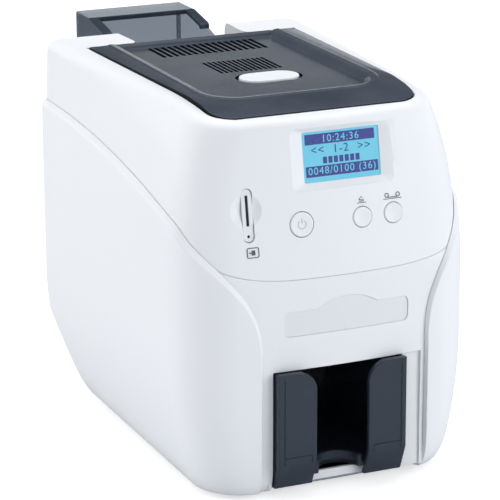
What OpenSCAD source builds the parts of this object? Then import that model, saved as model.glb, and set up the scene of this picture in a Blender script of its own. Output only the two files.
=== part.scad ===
// ID card printer: cards feed from the hopper at the rear, pass under the
// ribbon and the thermal head, and drop into the stacker at the front.
// X runs to the right, Y towards the rear and Z up from the table. The modules
// count Y from the stacker lip, and centred() puts the origin in the middle.

/* [Casing] */
// Width across the two side panels
body_w = 172; // [168:1:180]
// Distance from the stacker lip to the rear face of the body
body_d = 241; // [238:1:250]
// Height of the top casing above the table
body_h = 212; // [210:1:218]
// Thickness of the moulded walls
wall = 2.5; // [2:0.1:3]
// How far the side panels stand proud of the casing
panel_step = 2.7; // [2.4:0.1:3.2]
// Radius of the two front corners of the casing
corner_r = 28; // [22:1:32]
// Backward lean of the upper front face, in degrees
front_lean = 9.5; // [7:0.5:11]
// Height of the seam between the upper casing and the front cover
seam_z = 122.5; // [120:0.5:125]
// How far the side panels' rim at the rear lies below the top casing
rim_below = 36.5; // [32:0.5:40]
// How far that rim falls between the rear and the front
rim_drop = 31; // [27:1:35]

/* [Lid] */
// Half the width of the lid at its rear edge
lid_half = 66; // [64:0.5:67]
// How much narrower each side of the lid is at the front
lid_taper = 5.5; // [3:0.5:7]
// Distance of the lid's front edge from the lip
lid_front = 29; // [28:0.5:34]
// Distance of the lid's rear edge from the lip
lid_rear = 206.5; // [205:0.5:208]
// Number of slots in the rear row of vents
rear_slots = 17; // [11:2:19]
// Number of slots in the middle row of vents
middle_slots = 13; // [9:2:15]
// Diameter of the hinge pins
hinge_pin_d = 3; // [2.5:0.5:3.5]

/* [Cards] */
// Width of a card
card_w = 54; // [53:0.5:55]
// Length of a card
card_l = 86; // [85:0.5:87]
// Height of the card path above the table
path_z = 125; // [124:0.5:127]
// Diameter of the feed and platen rollers
roller_d = 14; // [13:0.5:15]
// Diameter of the roller shafts
shaft_d = 6; // [5:0.5:7]

/* [Hopper and stacker] */
// Outer width of the hopper
hopper_w = 70; // [68:1:72]
// Outer width of the stacker
stacker_w = 76.6; // [74:0.5:78]
// Height of the stacker's front guides
stacker_h = 72; // [68:1:74]
// Width of the finger gap between the guides
finger_gap = 31; // [26:1:34]

/* [Controls] */
// Width of the visible display
display_w = 45.2; // [42:0.5:48]
// Height of the visible display
display_h = 27; // [25:0.5:28]
// Diameter of the power button
power_d = 13.3; // [12:0.5:15]
// Diameter of the eject and ribbon buttons
button_d = 11; // [10:0.5:12]

/* [Hidden] */

gap = 0.3;            // clearance between pieces that only lie near each other
run_fit = 0.05;       // radial clearance of a shaft in its bore
eps = 0.01;
big = 400;            // reach of the cutting prisms

base_z = 2.5;         // lower edge of the casing
front_face = 5;       // front cover behind the stacker lip
bow = 2.5;            // forward bulge of the front face
tray_z = base_z + 0.5; // underside of the base tray
tray_t = 2;
rear_corner_r = 9;
front_mid = 4.5;      // middle of the front cover, a little right of the centre
front_half = 49.5;    // half the width of the front cover between the panels
lap = 6;              // hidden overlap of the casing behind the panels
rim_z = body_h - rim_below;
shoulder_z = body_h - 65; // the shoulders start to lean in here
shoulder_front = 14;
shoulder_rear = 2;
tuck_z = 75;          // the sides start to tuck in below here
tuck = 11;
edge_r = 5;           // rounding along the top edge
foot_round_h = 15;    // rounding along the bottom edge
foot_round = 5;
crown_y = 85;         // the top is level behind here and falls in front
crown_drop = 5;
undercut = 52;        // sloped cut at the lower rear corner
frame_x = 36;         // inner face of the frame plates
frame_t = 1.5;
spool_z = path_z + 34; // axis of the two ribbon spools
roll_d = 30;          // the wound ribbon

ivory = "#f4f6f9";
smoke = "#566370";
dark_smoke = "#36404a";
steel = "#b9bec4";
zinc = "#d0d4d8";
rubber = "#2b2d30";
nylon = "#e3ddcc";
black = "#1c1e21";
board_green = "#23623f";

function sq(v) = v * v;
function above(z, from, to) = sq(max(0, z - from) / (to - from));
function tuck_in(z) = tuck * above(-z, -tuck_z, 0);
function casing_half(z, lean) =
    body_w / 2 - panel_step - tuck_in(z) - lean * above(z, shoulder_z, body_h);
function front_y(z) = front_face + max(0, z - seam_z) * tan(front_lean);
// Inset that rounds the top and the bottom edge
function edge_in(z) =
    z > body_h - edge_r ? edge_r - sqrt(sq(edge_r) - sq(min(edge_r, z - body_h + edge_r)))
    : z < base_z + foot_round_h
        ? foot_round * (1 - sqrt(1 - sq(min(1, (base_z + foot_round_h - z) / foot_round_h))))
        : 0;
function top_z(y) = body_h - crown_drop * above(-y, -crown_y, -front_y(body_h) - edge_r);
// Points of the crown line from y behind the lip, moved up by rise
function crown(y, rise) = concat([[y, top_z(y) + rise]],
    [for (c = [4:12:crown_y]) if (c > y) [c, top_z(c) + rise]], [[crown_y, body_h + rise]]);
function side_rim(y) = rim_z - rim_drop * sq((body_d - y) / body_d);
function seam(x) = seam_z + 4 * sq((x - front_mid) / front_half);
function bezier(a, b, c, d, t) =
    pow(1 - t, 3) * a + 3 * sq(1 - t) * t * b + 3 * (1 - t) * sq(t) * c + pow(t, 3) * d;

// Moves a part from the lip's frame to the middle of the printer's depth
module centred() {
    translate([0, -hopper_rear / 2, 0]) children();
}

// ---- outlines -------------------------------------------------------------

function arc(centre, r, from, to, steps) = [for (i = [0:steps])
    let (a = from + (to - from) * i / steps) centre + r * [cos(a), sin(a)]];

// Outline of the casing at height z, grown outwards by grow: two rear corners,
// two front corners and the bulged front between them
function ring(z, grow) = let (
        g = grow - edge_in(z),
        rear = casing_half(z, shoulder_rear) + g,
        flat = casing_half(z, shoulder_front) - corner_r,
        r = max(1, rear_corner_r + g),
        y0 = front_y(z))
    concat(
        arc([rear - r, body_d + g - r], r, 0, 90, 5),
        arc([r - rear, body_d + g - r], r, 90, 180, 5),
        arc([-flat, y0 + bow + corner_r], corner_r + g, 180, 260, 8),
        [for (i = [-2:2]) [flat * i / 3, y0 + bow * sq(i / 3) - g]],
        arc([flat, y0 + bow + corner_r], corner_r + g, 280, 360, 8));

module plan(z, grow) {
    hull() polygon(ring(z, grow));
}

// Solid skinned over the casing's outlines at the given heights
module loft(levels, grow) {
    for (i = [0:len(levels) - 2]) {
        points = [for (z = [levels[i], levels[i + 1]], p = ring(z, grow)) [p[0], p[1], z]];
        hull() polyhedron(points, [[for (k = [0:len(points) - 1]) k]]);
    }
}

// Prism along X from a profile given as [y, z] points
module along_x(points, half = big) {
    translate([-half, 0, 0])
        rotate([90, 0, 90]) linear_extrude(2 * half) polygon(points);
}

// Prism along Y from a profile given as [x, z] points
module along_y(points, from = -big, to = big) {
    translate([0, to, 0])
        rotate([90, 0, 0]) linear_extrude(to - from) polygon(points);
}

// Everything under the crowned top and in front of the sloped lower rear
module envelope(inset) {
    rise = inset * sqrt(2);
    along_x(concat(crown(-20, -inset),
        [[body_d + 5, body_h - inset], [body_d + 5, base_z + undercut + rise],
         [body_d - undercut, base_z - 5 + rise], [-20, base_z - 5 + rise]]));
}

module below_side_rim(lower) {
    step = body_d / 16;
    along_x(concat([for (y = [-step:step:body_d + step]) [y, side_rim(y) - lower]],
        [[body_d + step, -20], [-step, -20]]));
}

zone_rear = front_face + corner_r + 8; // the front cover ends here
// Zone of the front between the two panels' front edges, widened by widen
module front_zone(widen) {
    start = 82;
    reach = 40;
    edge = front_half - widen;
    steps = 10;
    function side(s, i) = let (
            a = [front_mid + s * (front_half + widen), start],
            b = [a[0], start + reach],
            c = [s * (body_w / 2 - 4 + widen), start + reach + 10],
            d = [s * (body_w / 2 - 1.5 + widen), start + reach + 30])
        bezier(a, b, c, d, i / steps);
    along_y(concat(
        [[front_mid - front_half - widen, -20]],
        [for (i = [0:steps]) side(-1, i)],
        [[-body_w / 2 + 1.5 - widen, big], [body_w / 2 - 1.5 + widen, big]],
        [for (i = [steps:-1:0]) side(1, i)],
        [[front_mid + front_half + widen, -20]]), -big, zone_rear);
}

module below_seam(lower) {
    steps = 12;
    along_y(concat(
        [for (i = [-steps:steps]) let (x = i * body_w / 2 / steps) [x, seam(x) - lower]],
        [[body_w / 2, -20], [-body_w / 2, -20]]), -big, zone_rear);
}

// Heights where the lofts have a section: the foot, the waist, the shoulders and the top edge
foot_levels = [base_z, tray_z, 5, 10, base_z + foot_round_h, 34, 55, tuck_z];
waist_levels = [seam_z, shoulder_z, body_h - 50, rim_z];
shoulder_levels = [body_h - 26, body_h - 16, body_h - edge_r];
edge_levels = [body_h - 2.4, body_h - 0.8, body_h - 0.15, body_h];

// ---- casing ----------------------------------------------------------------

lid_bed = 3;          // depth of the rebate that the lid lies in
lid_shelf = 5;        // width of the shelf under the lid's edge
top_t = 7;            // thickness of the top around the lid
notch_half = hopper_w / 2 + 0.6;
notch_r = 6;

function lid_side(y) = lid_half - lid_taper * (lid_rear - y) / (lid_rear - lid_front);

// Plan of the lid, grown by grow, with rounded front corners
module lid_plan(grow) {
    r = 9;
    front = lid_side(lid_front) + grow;
    rear = lid_half + grow;
    polygon(concat(
        [[-rear, lid_rear + grow]],
        [for (a = [180:15:270]) [-front + r + r * cos(a), lid_front - grow + r + r * sin(a)]],
        [for (a = [270:15:360]) [front - r + r * cos(a), lid_front - grow + r + r * sin(a)]],
        [[rear, lid_rear + grow]]));
}

// The open notch behind the lid, where cards are laid into the hopper
module hopper_notch() {
    translate([0, 0, path_z - hopper_floor - gap]) linear_extrude(body_h)
        polygon(concat(
            [[-notch_half, lid_rear + notch_r]],
            [for (a = [0:15:90]) [-notch_half - notch_r + notch_r * cos(a),
                lid_rear + 0.5 + notch_r - notch_r * sin(a)]],
            [for (a = [90:-15:0]) [notch_half + notch_r - notch_r * cos(a),
                lid_rear + 0.5 + notch_r - notch_r * sin(a)]],
            [[notch_half, body_d + 20], [-notch_half, body_d + 20]]));
}

display_x = 7.5;
display_z = body_h - 26.5;
display_sink = 3;     // depth of the display window behind the front face
side_margin = 8;      // sloped surround of the window
top_margin = 2.5;
low_margin = 3.5;
button_z = body_h - 60.5;
power_x = -19.5;
eject_x = 16.1;
ribbon_x = 34.9;
button_fit = 0.35;
chip_x = -49.5;
chip_z = body_h - 53;
chip_h = 29;
chip_w = 6.6;

// Places children on the leaning front face at height z, with -Y outwards
module on_front(x, z) {
    translate([x, front_y(z) + bow * sq(x / (body_w / 2 - corner_r)), z])
        rotate([-front_lean, 0, 0]) children();
}

// A block that pierces the front face, w wide, h high, from y0 to y1
module front_block(w, h, y0, y1) {
    translate([-w / 2, y0, -h / 2]) cube([w, y1 - y0, h]);
}

module front_rod(d, y0, y1, fn = 40) {
    translate([0, y0, 0]) rotate([-90, 0, 0]) cylinder(d = d, h = y1 - y0, $fn = fn);
}

// Sloped surround of the display, sunk into the front face
module display_funnel() {
    w = display_w + 2 * side_margin;
    h = display_h + low_margin + top_margin;
    hull() {
        translate([-w / 2, -1, -display_h / 2 - low_margin]) cube([w, 1 + eps, h]);
        front_block(display_w, display_h, display_sink, display_sink + eps);
    }
    front_block(display_w, display_h, 0, display_sink + 5);
    front_block(display_w + 3, display_h + 2, display_sink + 0.6, display_sink + 5);
}

module upper_casing() {
    color(ivory) centred() difference() {
        union() {
            difference() {
                intersection() {
                    loft(concat(waist_levels, shoulder_levels, edge_levels), 0);
                    envelope(0);
                }
                intersection() {
                    loft(concat([seam_z - 4], waist_levels, shoulder_levels), -wall);
                    envelope(top_t);
                }
            }
            on_front(display_x, display_z)
                front_block(display_w + 2 * side_margin + 4, display_h + 8, 2, display_sink + 1.8);
        }
        // behind the side panels and above the front cover
        difference() {
            below_side_rim(lap);
            front_zone(lap);
        }
        below_seam(0);
        // rebate and opening for the lid
        intersection() {
            translate([0, 0, body_h - 20]) linear_extrude(40) lid_plan(0.5);
            difference() {
                translate([-big / 2, 0, 0]) cube([big, body_d, big]);
                envelope(lid_bed);
            }
        }
        translate([0, 0, body_h - 40]) linear_extrude(80) difference() {
            lid_plan(-lid_shelf);
            translate([-body_w / 2, lid_rear - 12]) square([body_w, 20]);
        }
        translate([-lid_half + lid_shelf, lid_rear - 13, body_h - 40])
            cube([2 * (lid_half - lid_shelf), 13.5, 80]);
        // trough for the lid's rolled rear edge
        rod_x(2 * (hinge_r + gap), -lid_half - 0.5, lid_half + 0.5, hinge_y, hinge_z, 48);
        hopper_notch();
        // display, buttons and chip card slot
        on_front(display_x, display_z) display_funnel();
        on_front(power_x, button_z) front_rod(power_d + 2 * button_fit, -10, 20);
        for (x = [eject_x, ribbon_x])
            on_front(x, button_z) front_rod(button_d + 2 * button_fit, -10, 20);
        on_front(chip_x, chip_z) {
            front_block(chip_w, chip_h, -10, 20);
            front_rod(15.5, -10, 1.2);
        }
    }
}

// Shell of a side panel: the band between the casing's plan and the step
module panel_band() {
    difference() {
        intersection() {
            loft(concat(foot_levels, waist_levels), panel_step);
            envelope(0);
            below_side_rim(0);
        }
        loft(concat([base_z - 1], foot_levels, waist_levels, [rim_z + 8]), gap);
        front_zone(0);
    }
}

module side_panel(s) {
    color(ivory) centred() intersection() {
        panel_band();
        translate([s > 0 ? 10 : -big - 10, -20, 0])
            cube([big, body_d - rear_corner_r + 20 + 4, big]);
    }
}
module left_side_panel() side_panel(-1);
module right_side_panel() side_panel(1);

recess_half = 45.5;   // opening in the front cover for the stacker
recess_top = stacker_h + 1.3;
recess_depth = 28;
plate_w = 74;         // shallow bare field under the seam
plate_h = 14;
plate_z = 98;

plate_sink = 0.8;

module plate_outline() {
    dome_r = 32;
    square([plate_w, plate_h], center = true);
    intersection() {
        translate([0, plate_h / 2 + 5.5 - dome_r]) circle(dome_r, $fn = 96);
        translate([-plate_w / 4, 0]) square([plate_w / 2, plate_h]);
    }
}

module front_cover() {
    color(ivory) centred() difference() {
        intersection() {
            loft(concat(foot_levels, [seam_z, seam_z + 6]), 0);
            front_zone(lap - 2);
            below_seam(0.5);
        }
        loft(concat([base_z - 1], foot_levels, [seam_z, seam_z + 8]), -wall);
        // opening for the stacker
        translate([front_mid - recess_half, -10, -1])
            cube([2 * recess_half, 40, recess_top + 1]);
        // bare field with a domed top, sunk along the bulged face
        difference() {
            translate([front_mid + 1, 0, plate_z]) rotate([90, 0, 0])
                linear_extrude(2 * front_face, center = true) plate_outline();
            loft([tuck_z, seam_z], -plate_sink);
        }
    }
    // walls of the recess round the stacker
    color(ivory) centred() intersection() {
        loft(concat(foot_levels, [seam_z]), -wall + eps);
        for (s = [-1, 1])
            translate([front_mid + s * (recess_half + 1) - 1, 0, tray_z + tray_t])
                cube([2, recess_depth, recess_top - tray_z - tray_t + 2]);
    }
}

// Zone of the rear panel: the rear wall and the slope under it
slope_foot = body_d - undercut - 5;
module rear_zone() {
    front = body_d - 15;
    along_x([[front, big], [body_d + 9, big], [body_d + 9, -10], [slope_foot, -10],
        [slope_foot, 9], [front, base_z + undercut - 5]]);
}

board_x = body_w / 2 - 30; // outer side of the main board
socket_x = board_x + 9;
socket_z = 78;
inlet_x = 3 - (frame_x + body_w / 2) / 2;
inlet_z = 78;
rocker_z = 112;
rocker_w = 11;
rocker_l = 16;

module rear_panel() {
    levels = concat(foot_levels, waist_levels);
    color(ivory) centred() difference() {
        intersection() {
            loft(levels, 0);
            envelope(0);
            below_side_rim(lap + gap);
            rear_zone();
        }
        intersection() {
            loft(concat([base_z - 1], levels, [rim_z + 4]), -wall);
            envelope(wall);
        }
        hopper_notch();
        // network and USB sockets, power inlet and switch
        for (p = [[socket_z + 9, 16.6, 14.6], [socket_z - 10, 12.6, 11.6]])
            translate([board_x + board_t - gap, body_d - 10, p[0] - p[2] / 2])
                cube([socket_x + p[1] / 2 - board_x - board_t + gap, 20, p[2]]);
        translate([inlet_x - 14, body_d - 10, inlet_z - 10.5]) cube([28, 20, 21]);
        translate([inlet_x - 10.5, body_d - 10, rocker_z - 13]) cube([21, 20, 26]);
        for (i = [0:8])
            translate([socket_x - 20, body_d - 10, rocker_z - 2 + i * 5])
                cube([28, 20, 2]);
    }
}

rim_h = 12;           // turned-up edge of the tray
module tray_plan(grow) {
    plan(tray_z, grow - wall - 3 * gap);
    intersection() {
        plan(tray_z, grow);
        translate([-body_w / 2, zone_rear + gap])
            square([body_w, slope_foot - zone_rear - 2 * gap]);
    }
}

module base_tray() {
    y1 = body_d - undercut - wall * sqrt(2) + 5;
    color(zinc) centred() intersection() {
        translate([-big / 2, 0, 0]) cube([big, y1, 20]);
        difference() {
            translate([0, 0, tray_z]) linear_extrude(rim_h) tray_plan(0);
            translate([0, 0, tray_z + tray_t]) linear_extrude(rim_h) tray_plan(-frame_t);
            translate([front_mid - recess_half - 2 - gap, -10, tray_z + tray_t])
                cube([2 * (recess_half + 2 + gap), 60, 20]);
            for (x = [-50, 50], y = [120, 150])
                translate([x, y, 0]) cylinder(d = 4, h = 10, $fn = 32);
        }
    }
}

foot_d = 14;
foot_x = body_w / 2 - 26;
module feet() {
    color(rubber) centred() for (x = [-foot_x, foot_x], y = [zone_rear + 3, slope_foot - 12])
        translate([x, y, 0]) {
            cylinder(d = foot_d, h = tray_z, $fn = 48);
            translate([0, 0, tray_z + tray_t]) cylinder(d = 7, h = 1.2, $fn = 32);
        }
}

// ---- lid ---------------------------------------------------------------------

hinge_y = lid_rear - 3.5;
hinge_z = body_h - 2.5;
hinge_r = 3.5;
hinge_in = 50;        // inner side of the hinge brackets
hinge_w = 6;
ridge = 2.5;          // the lid's rim stands this far above the casing
ridge_half = 51;
dish_z = body_h - 1.5;
dish_front = 55;
dish_r = 18;
plug_z = body_h - 4.7; // underside of the lid
button_y = 100;
button_x = 2;
rear_vents = lid_rear - 24; // middle of the rear row of slots
middle_vents = button_y + 33;
oval_l = 35;
oval_w = 20;

module rod_x(d, x0, x1, y, z, fn = 32) {
    translate([x0, y, z]) rotate([0, 90, 0]) cylinder(d = d, h = x1 - x0, $fn = fn);
}

module oval(grow) {
    for (s = [-1, 1])
        translate([s * (oval_l - oval_w) / 2, 0]) circle(oval_w / 2 + grow, $fn = 48);
    square([oval_l - oval_w, oval_w + 2 * grow], center = true);
}

// Row of n slots along Y, centred at y, each slot_l long
module vent_row(n, pitch, y, slot_l) {
    slot_w = pitch * 0.55;
    for (i = [0:n - 1])
        translate([(i - (n - 1) / 2) * pitch - slot_w / 2, y - slot_l / 2, body_h - 20])
            cube([slot_w, slot_l, 40]);
}

module dish_plan() {
    x = ridge_half - dish_r;
    polygon(concat([[-ridge_half, hinge_y - 4]],
        [for (a = [180:15:270]) [-x + dish_r * cos(a), dish_front + dish_r + dish_r * sin(a)]],
        [for (a = [270:15:360]) [x + dish_r * cos(a), dish_front + dish_r + dish_r * sin(a)]],
        [[ridge_half, hinge_y - 4]]));
}

module lid_cover() {
    low = lid_bed - gap;
    y0 = lid_front;
    color(smoke) centred() difference() {
        union() {
            intersection() {
                union() {
                    intersection() {
                        translate([0, 0, body_h - 20]) linear_extrude(40) lid_plan(0);
                        along_x(concat(crown(y0, -low),
                            [[hinge_y, body_h - low], [hinge_y, hinge_z + hinge_r],
                             [hinge_y - 12, body_h + ridge], [crown_y, body_h + ridge],
                             [dish_front, top_z(dish_front) + ridge], [y0 + 1, top_z(y0) + 1],
                             [y0, top_z(y0)]]));
                    }
                    intersection() {
                        translate([0, 0, body_h - 20]) linear_extrude(22)
                            lid_plan(-lid_shelf - gap);
                        along_x(concat(crown(0, plug_z - body_h),
                            [[hinge_y, plug_z], [hinge_y, body_h], [crown_y, body_h],
                             [y0, top_z(y0)], [0, top_z(0)]]));
                    }
                }
                along_y([[-ridge_half, body_h + ridge], [ridge_half, body_h + ridge],
                    [lid_half, body_h + 0.8], [lid_half + 1, body_h - 40],
                    [-lid_half - 1, body_h - 40], [-lid_half, body_h + 0.8]]);
            }
            rod_x(2 * hinge_r, -lid_half + gap, lid_half - gap, hinge_y, hinge_z, 48);
        }
        // recessed middle, open vents and the button's oval
        translate([0, 0, dish_z]) linear_extrude(20) dish_plan();
        vent_row(rear_slots, 4, rear_vents, 26);
        vent_row(middle_slots, 3, middle_vents, 29);
        translate([button_x, button_y, body_h - 20]) linear_extrude(40) oval(0.4);
        // hollow rails
        for (s = [-1, 1])
            translate([s > 0 ? ridge_half + 2 : -ridge_half - 6, 60, body_h - 20])
                cube([4, 125, 20]);
        // hinge: room for the brackets, and the pin bores
        for (s = [-1, 1])
            translate([s > 0 ? hinge_in - gap : -hinge_in - hinge_w - gap, hinge_y - 6, body_h - 20])
                cube([hinge_w + 2 * gap, 12, 40]);
        rod_x(hinge_pin_d + 2 * run_fit, -lid_half, lid_half, hinge_y, hinge_z);
    }
}

module hinge_pins() {
    color(steel) centred() for (s = [-1, 1])
        rod_x(hinge_pin_d, s > 0 ? hinge_in - 7 : -hinge_in - hinge_w - 3,
            s > 0 ? hinge_in + hinge_w + 3 : -hinge_in + 7, hinge_y, hinge_z);
}

bridge_z = (spool_z + roll_d / 2 + hinge_z - hinge_r) / 2; // plate across the frame that carries the hinges
strap = 36;           // length of the straps that carry the plate
module hinge_brackets() {
    color(zinc) centred() difference() {
        union() {
            for (s = [-1, 1])
                translate([s > 0 ? hinge_in : -hinge_in - hinge_w, 0, 0]) {
                    rod_x(2 * hinge_r - 0.6, 0, hinge_w, hinge_y, hinge_z, 48);
                    translate([0, hinge_y - hinge_r + 0.3, bridge_z])
                        cube([hinge_w, 2 * hinge_r - 0.6, hinge_z - bridge_z]);
                }
            translate([-hinge_in - hinge_w, hinge_y - 7.5, bridge_z - 2])
                cube([2 * (hinge_in + hinge_w), 12.5, 2]);
            for (s = [-1, 1])
                translate([s > 0 ? frame_x + frame_t : -frame_x - 2 * frame_t, hinge_y - 9, bridge_z - strap])
                    cube([frame_t, 12, strap]);
        }
        rod_x(hinge_pin_d + 2 * run_fit, -lid_half, lid_half, hinge_y, hinge_z);
    }
}

latch_y = 92;
latch_z = body_h - 14;
latch_rod_d = 3;
arm_x = frame_x + frame_t + 3;
arm_t = 2.5;
stud_y = latch_y + 2.5;
stud_z = latch_z - 21;
stud_d = 4;
frame_rail = 31;
head_y = 145;
head_half = 12;
head_w = card_w + 4;
head_z = path_z + 1.6;

module lid_frame() {
    t = 2;
    top = plug_z;
    y1 = hinge_y - 8;
    color(dark_smoke) centred() difference() {
        union() {
            translate([-48, latch_y - 7, top - t]) cube([96, y1 - latch_y + 7, t]);
            for (s = [-1, 1]) {
                translate([s > 0 ? frame_rail : -frame_rail - 2, head_y - 25, top - 12])
                    cube([2, y1 - head_y + 25, 12]);
                translate([s > 0 ? arm_x + arm_t + 2 : -arm_x - arm_t - 5, latch_y - 6,
                        latch_z - 5]) cube([3, 12, top - latch_z + 5]);
            }
            for (y = [head_y - 25, y1 - 2])
                translate([-frame_rail - 2, y, top - 12]) cube([2 * frame_rail + 4, 2, 12]);
        }
        // open under the vents and the button
        for (y = [rear_vents - 14.5, middle_vents - 14])
            translate([-26, y, top - 20]) cube([52, 25, 30]);
        translate([button_x, button_y, top - 20]) linear_extrude(30) oval(1);
        rod_x(latch_rod_d + 0.02, -big, big, latch_y, latch_z);
    }
}

module latch_rod() {
    color(steel) centred() rod_x(latch_rod_d, -arm_x - arm_t - 6, arm_x + arm_t + 6, latch_y, latch_z);
}

press_y = button_y + 3;
module lid_latch() {
    color(zinc) centred() difference() {
        union() {
            for (s = [-1, 1])
                translate([s > 0 ? arm_x : -arm_x - arm_t, 0, 0]) {
                    rod_x(8, 0, arm_t, latch_y, latch_z);
                    rotate([90, 0, 90]) linear_extrude(arm_t) polygon([
                        [latch_y - 4, latch_z], [latch_y - 4, stud_z - 6],
                        [stud_y - stud_d / 2 - gap, stud_z - 6], [stud_y - stud_d / 2 - gap, stud_z - 3],
                        [latch_y - 1.2, stud_z - 1.5], [latch_y - 1.2, latch_z]]);
                    translate([0, latch_y, latch_z - 1]) cube([arm_t, press_y + 2 - latch_y, 3]);
                }
            translate([-arm_x, press_y - 4, latch_z]) cube([2 * arm_x, 6, 1.5]);
        }
        rod_x(latch_rod_d + 2 * run_fit, -big, big, latch_y, latch_z);
    }
}

module latch_studs() {
    color(steel) centred() for (s = [-1, 1])
        rod_x(stud_d, s > 0 ? frame_x + frame_t : -arm_x - arm_t - 0.5,
            s > 0 ? arm_x + arm_t + 0.5 : -frame_x - frame_t, stud_y, stud_z);
}

module lid_button() {
    top = body_h - 0.7;
    color(ivory) centred() translate([button_x, button_y, 0]) {
        translate([0, 0, top - 2.5]) linear_extrude(2.5) oval(0);
        translate([-4, press_y - button_y - 1, latch_z + 1.5 + gap])
            cube([8, 2, top - latch_z - 3.5]);
    }
}

module head_bracket() {
    w = frame_rail - gap;
    z1 = plug_z - 2.2;
    foot = head_z + 16;
    color(zinc) centred() {
        for (s = [-1, 1])
            translate([s > 0 ? w - 1.5 : -w, head_y - head_half, foot])
                cube([1.5, 2 * head_half, z1 - foot]);
        translate([-w, head_y - head_half, foot]) cube([2 * w, 2 * head_half, 1.5]);
        translate([-w, head_y - head_half, z1 - 1.5]) cube([2 * w, 2 * head_half, 1.5]);
    }
}

module head_heatsink() {
    fins = 7;
    z0 = head_z + 3.2;
    h = 12.6;
    color("#9aa3ab") centred() difference() {
        translate([-head_w / 2, head_y - head_half, z0]) cube([head_w, 2 * head_half, h]);
        for (i = [0:fins - 1])
            translate([-head_w / 2 - 1, head_y - head_half + 2 + i * 3, z0 + 4])
                cube([head_w + 2, 1.6, h - 6]);
    }
}

module print_head() {
    color("#8c4a2f") centred() translate([-head_w / 2, head_y - head_half, head_z + 1]) cube([head_w, 2 * head_half, 2]);
    color("#e9e6dc") centred() translate([-head_w / 2, head_y - 4, head_z]) cube([head_w, 8, 0.9]);
}

// ---- hopper ------------------------------------------------------------------

hopper_h = body_h - gap; // its top plate lies level with the casing
hopper_rear = body_d - 20 + card_l + 5;
hopper_t = 2.5;
hopper_floor = 3;
hopper_front = body_d - 20;
hood_y = hopper_rear - 24;
rail_y = hood_y - 24.5;
rail_w = 6;

module hopper_box() {
    half = hopper_w / 2;
    low = path_z - hopper_floor;
    slope = hopper_h - 4.7;
    side = [[hopper_front, low], [hopper_rear, low], [hopper_rear, hopper_h],
        [hood_y, hopper_h], [rail_y, slope], [rail_y, slope - 3], [body_d, slope - 9],
        [hopper_front, low + 45]];
    color(smoke) centred() difference() {
        union() {
            for (s = [-1, 1])
                translate([s > 0 ? half - hopper_t : -half, 0, 0])
                    rotate([90, 0, 90]) linear_extrude(hopper_t) polygon(side);
            // sloped rails with a small lip at their feet
            for (s = [-1, 1])
                translate([s > 0 ? half - rail_w : -half, 0, 0])
                    rotate([90, 0, 90]) linear_extrude(rail_w)
                        polygon([[hood_y, hopper_h], [rail_y, slope], [rail_y, slope - 3],
                            [rail_y + 2, slope - 3], [rail_y + 2, slope - 2],
                            [hood_y, hopper_h - 2.2]]);
            translate([-half, hood_y, hopper_h - hopper_t]) cube([hopper_w, hopper_rear - hood_y, hopper_t]);
            translate([-half, hopper_rear - hopper_t, low]) cube([hopper_w, hopper_t, hopper_h - low]);
            translate([-half, hopper_front, low]) cube([hopper_w, hopper_rear - hopper_front, hopper_floor]);
        }
        // slot for the pick roller in the floor
        translate([-pick_w / 2 - 1, pick_y - 9.5, low - 1]) cube([pick_w + 2, 19, 5]);
    }
}

module card_weight() {
    z0 = path_z + gap;
    color(dark_smoke) centred() {
        translate([-card_w / 2 + 1, hood_y - 40, z0]) cube([card_w - 2, 55, 6]);
        translate([-8, hood_y - 24, z0 + 6]) cube([16, 24, 10]);
    }
}

module hopper_gate() {
    color(steel) centred() translate([-frame_x, hopper_front - 2.5, path_z + 1.2])
        cube([2 * frame_x, 1.5, 34]);
}

// ---- stacker -------------------------------------------------------------------

stacker_x = 1;
stacker_l = card_l + 8;
stacker_t = 2.2;
guide_t = 3.5;
guide_foot = 6;       // the guides' feet lie this far behind the lip
guide_knee = 20;      // the guides bend back below this height

module stacker_tray() {
    half = stacker_w / 2;
    z0 = tray_z + tray_t + gap;
    guide = (stacker_w - finger_gap) / 2;
    r = 11;
    color(dark_smoke) centred() translate([stacker_x, 0, 0]) difference() {
        union() {
            translate([-half, guide_foot, z0]) cube([stacker_w, stacker_l - guide_foot, 2.5]);
            for (s = [-1, 1])
                translate([s > 0 ? half - stacker_t : -half, 0, 0])
                    rotate([90, 0, 90]) linear_extrude(stacker_t)
                        polygon([[guide_foot, z0], [stacker_l, z0], [stacker_l, 36],
                            [42, stacker_h - 4], [0, stacker_h], [0, guide_knee]]);
            // guides: a rounded outline, bent back at the knee
            intersection() {
                for (s = [0, 1])
                    mirror([s, 0, 0])
                        translate([0, stacker_l, 0]) rotate([90, 0, 0]) linear_extrude(stacker_l)
                            polygon(concat([[-half, z0], [-half, stacker_h]],
                                [for (a = [90:-15:0]) [-half + guide - r + r * cos(a),
                                    stacker_h - r + r * sin(a)]],
                                [[-half + guide, z0]]));
                along_x([[0, stacker_h], [guide_t, stacker_h], [guide_t, guide_knee],
                    [guide_foot + guide_t, z0], [guide_foot, z0], [0, guide_knee]]);
            }
            translate([-half, stacker_l - stacker_t, z0]) cube([stacker_w, stacker_t, 20]);
        }
        translate([0, guide_foot - 1, z0 - 1]) cylinder(r = 12, h = 5, $fn = 64);
    }
}

// ---- controls ------------------------------------------------------------------

module display_glass() {
    color("#6ec3e1") centred() on_front(display_x, display_z)
        front_block(display_w + 2.8, display_h + 1.8, display_sink + 0.6, display_sink + 1.8);
}

module display_board() {
    color(board_green) centred() on_front(display_x, display_z) {
        translate([-42, 7, -46]) cube([84, 1.6, 59]);
        front_block(display_w + 2, display_h, display_sink + 1.8, 7);
    }
}

module push_button(x, d) {
    color(ivory) centred() on_front(x, button_z) {
        front_rod(d, -0.6, 4.8, 64);
        front_rod(d + 3, wall + 3 * gap, wall + 3 * gap + 1.2, 64);
    }
}
module power_button() push_button(power_x, power_d);
module eject_button() push_button(eject_x, button_d);
module ribbon_button() push_button(ribbon_x, button_d);

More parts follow.
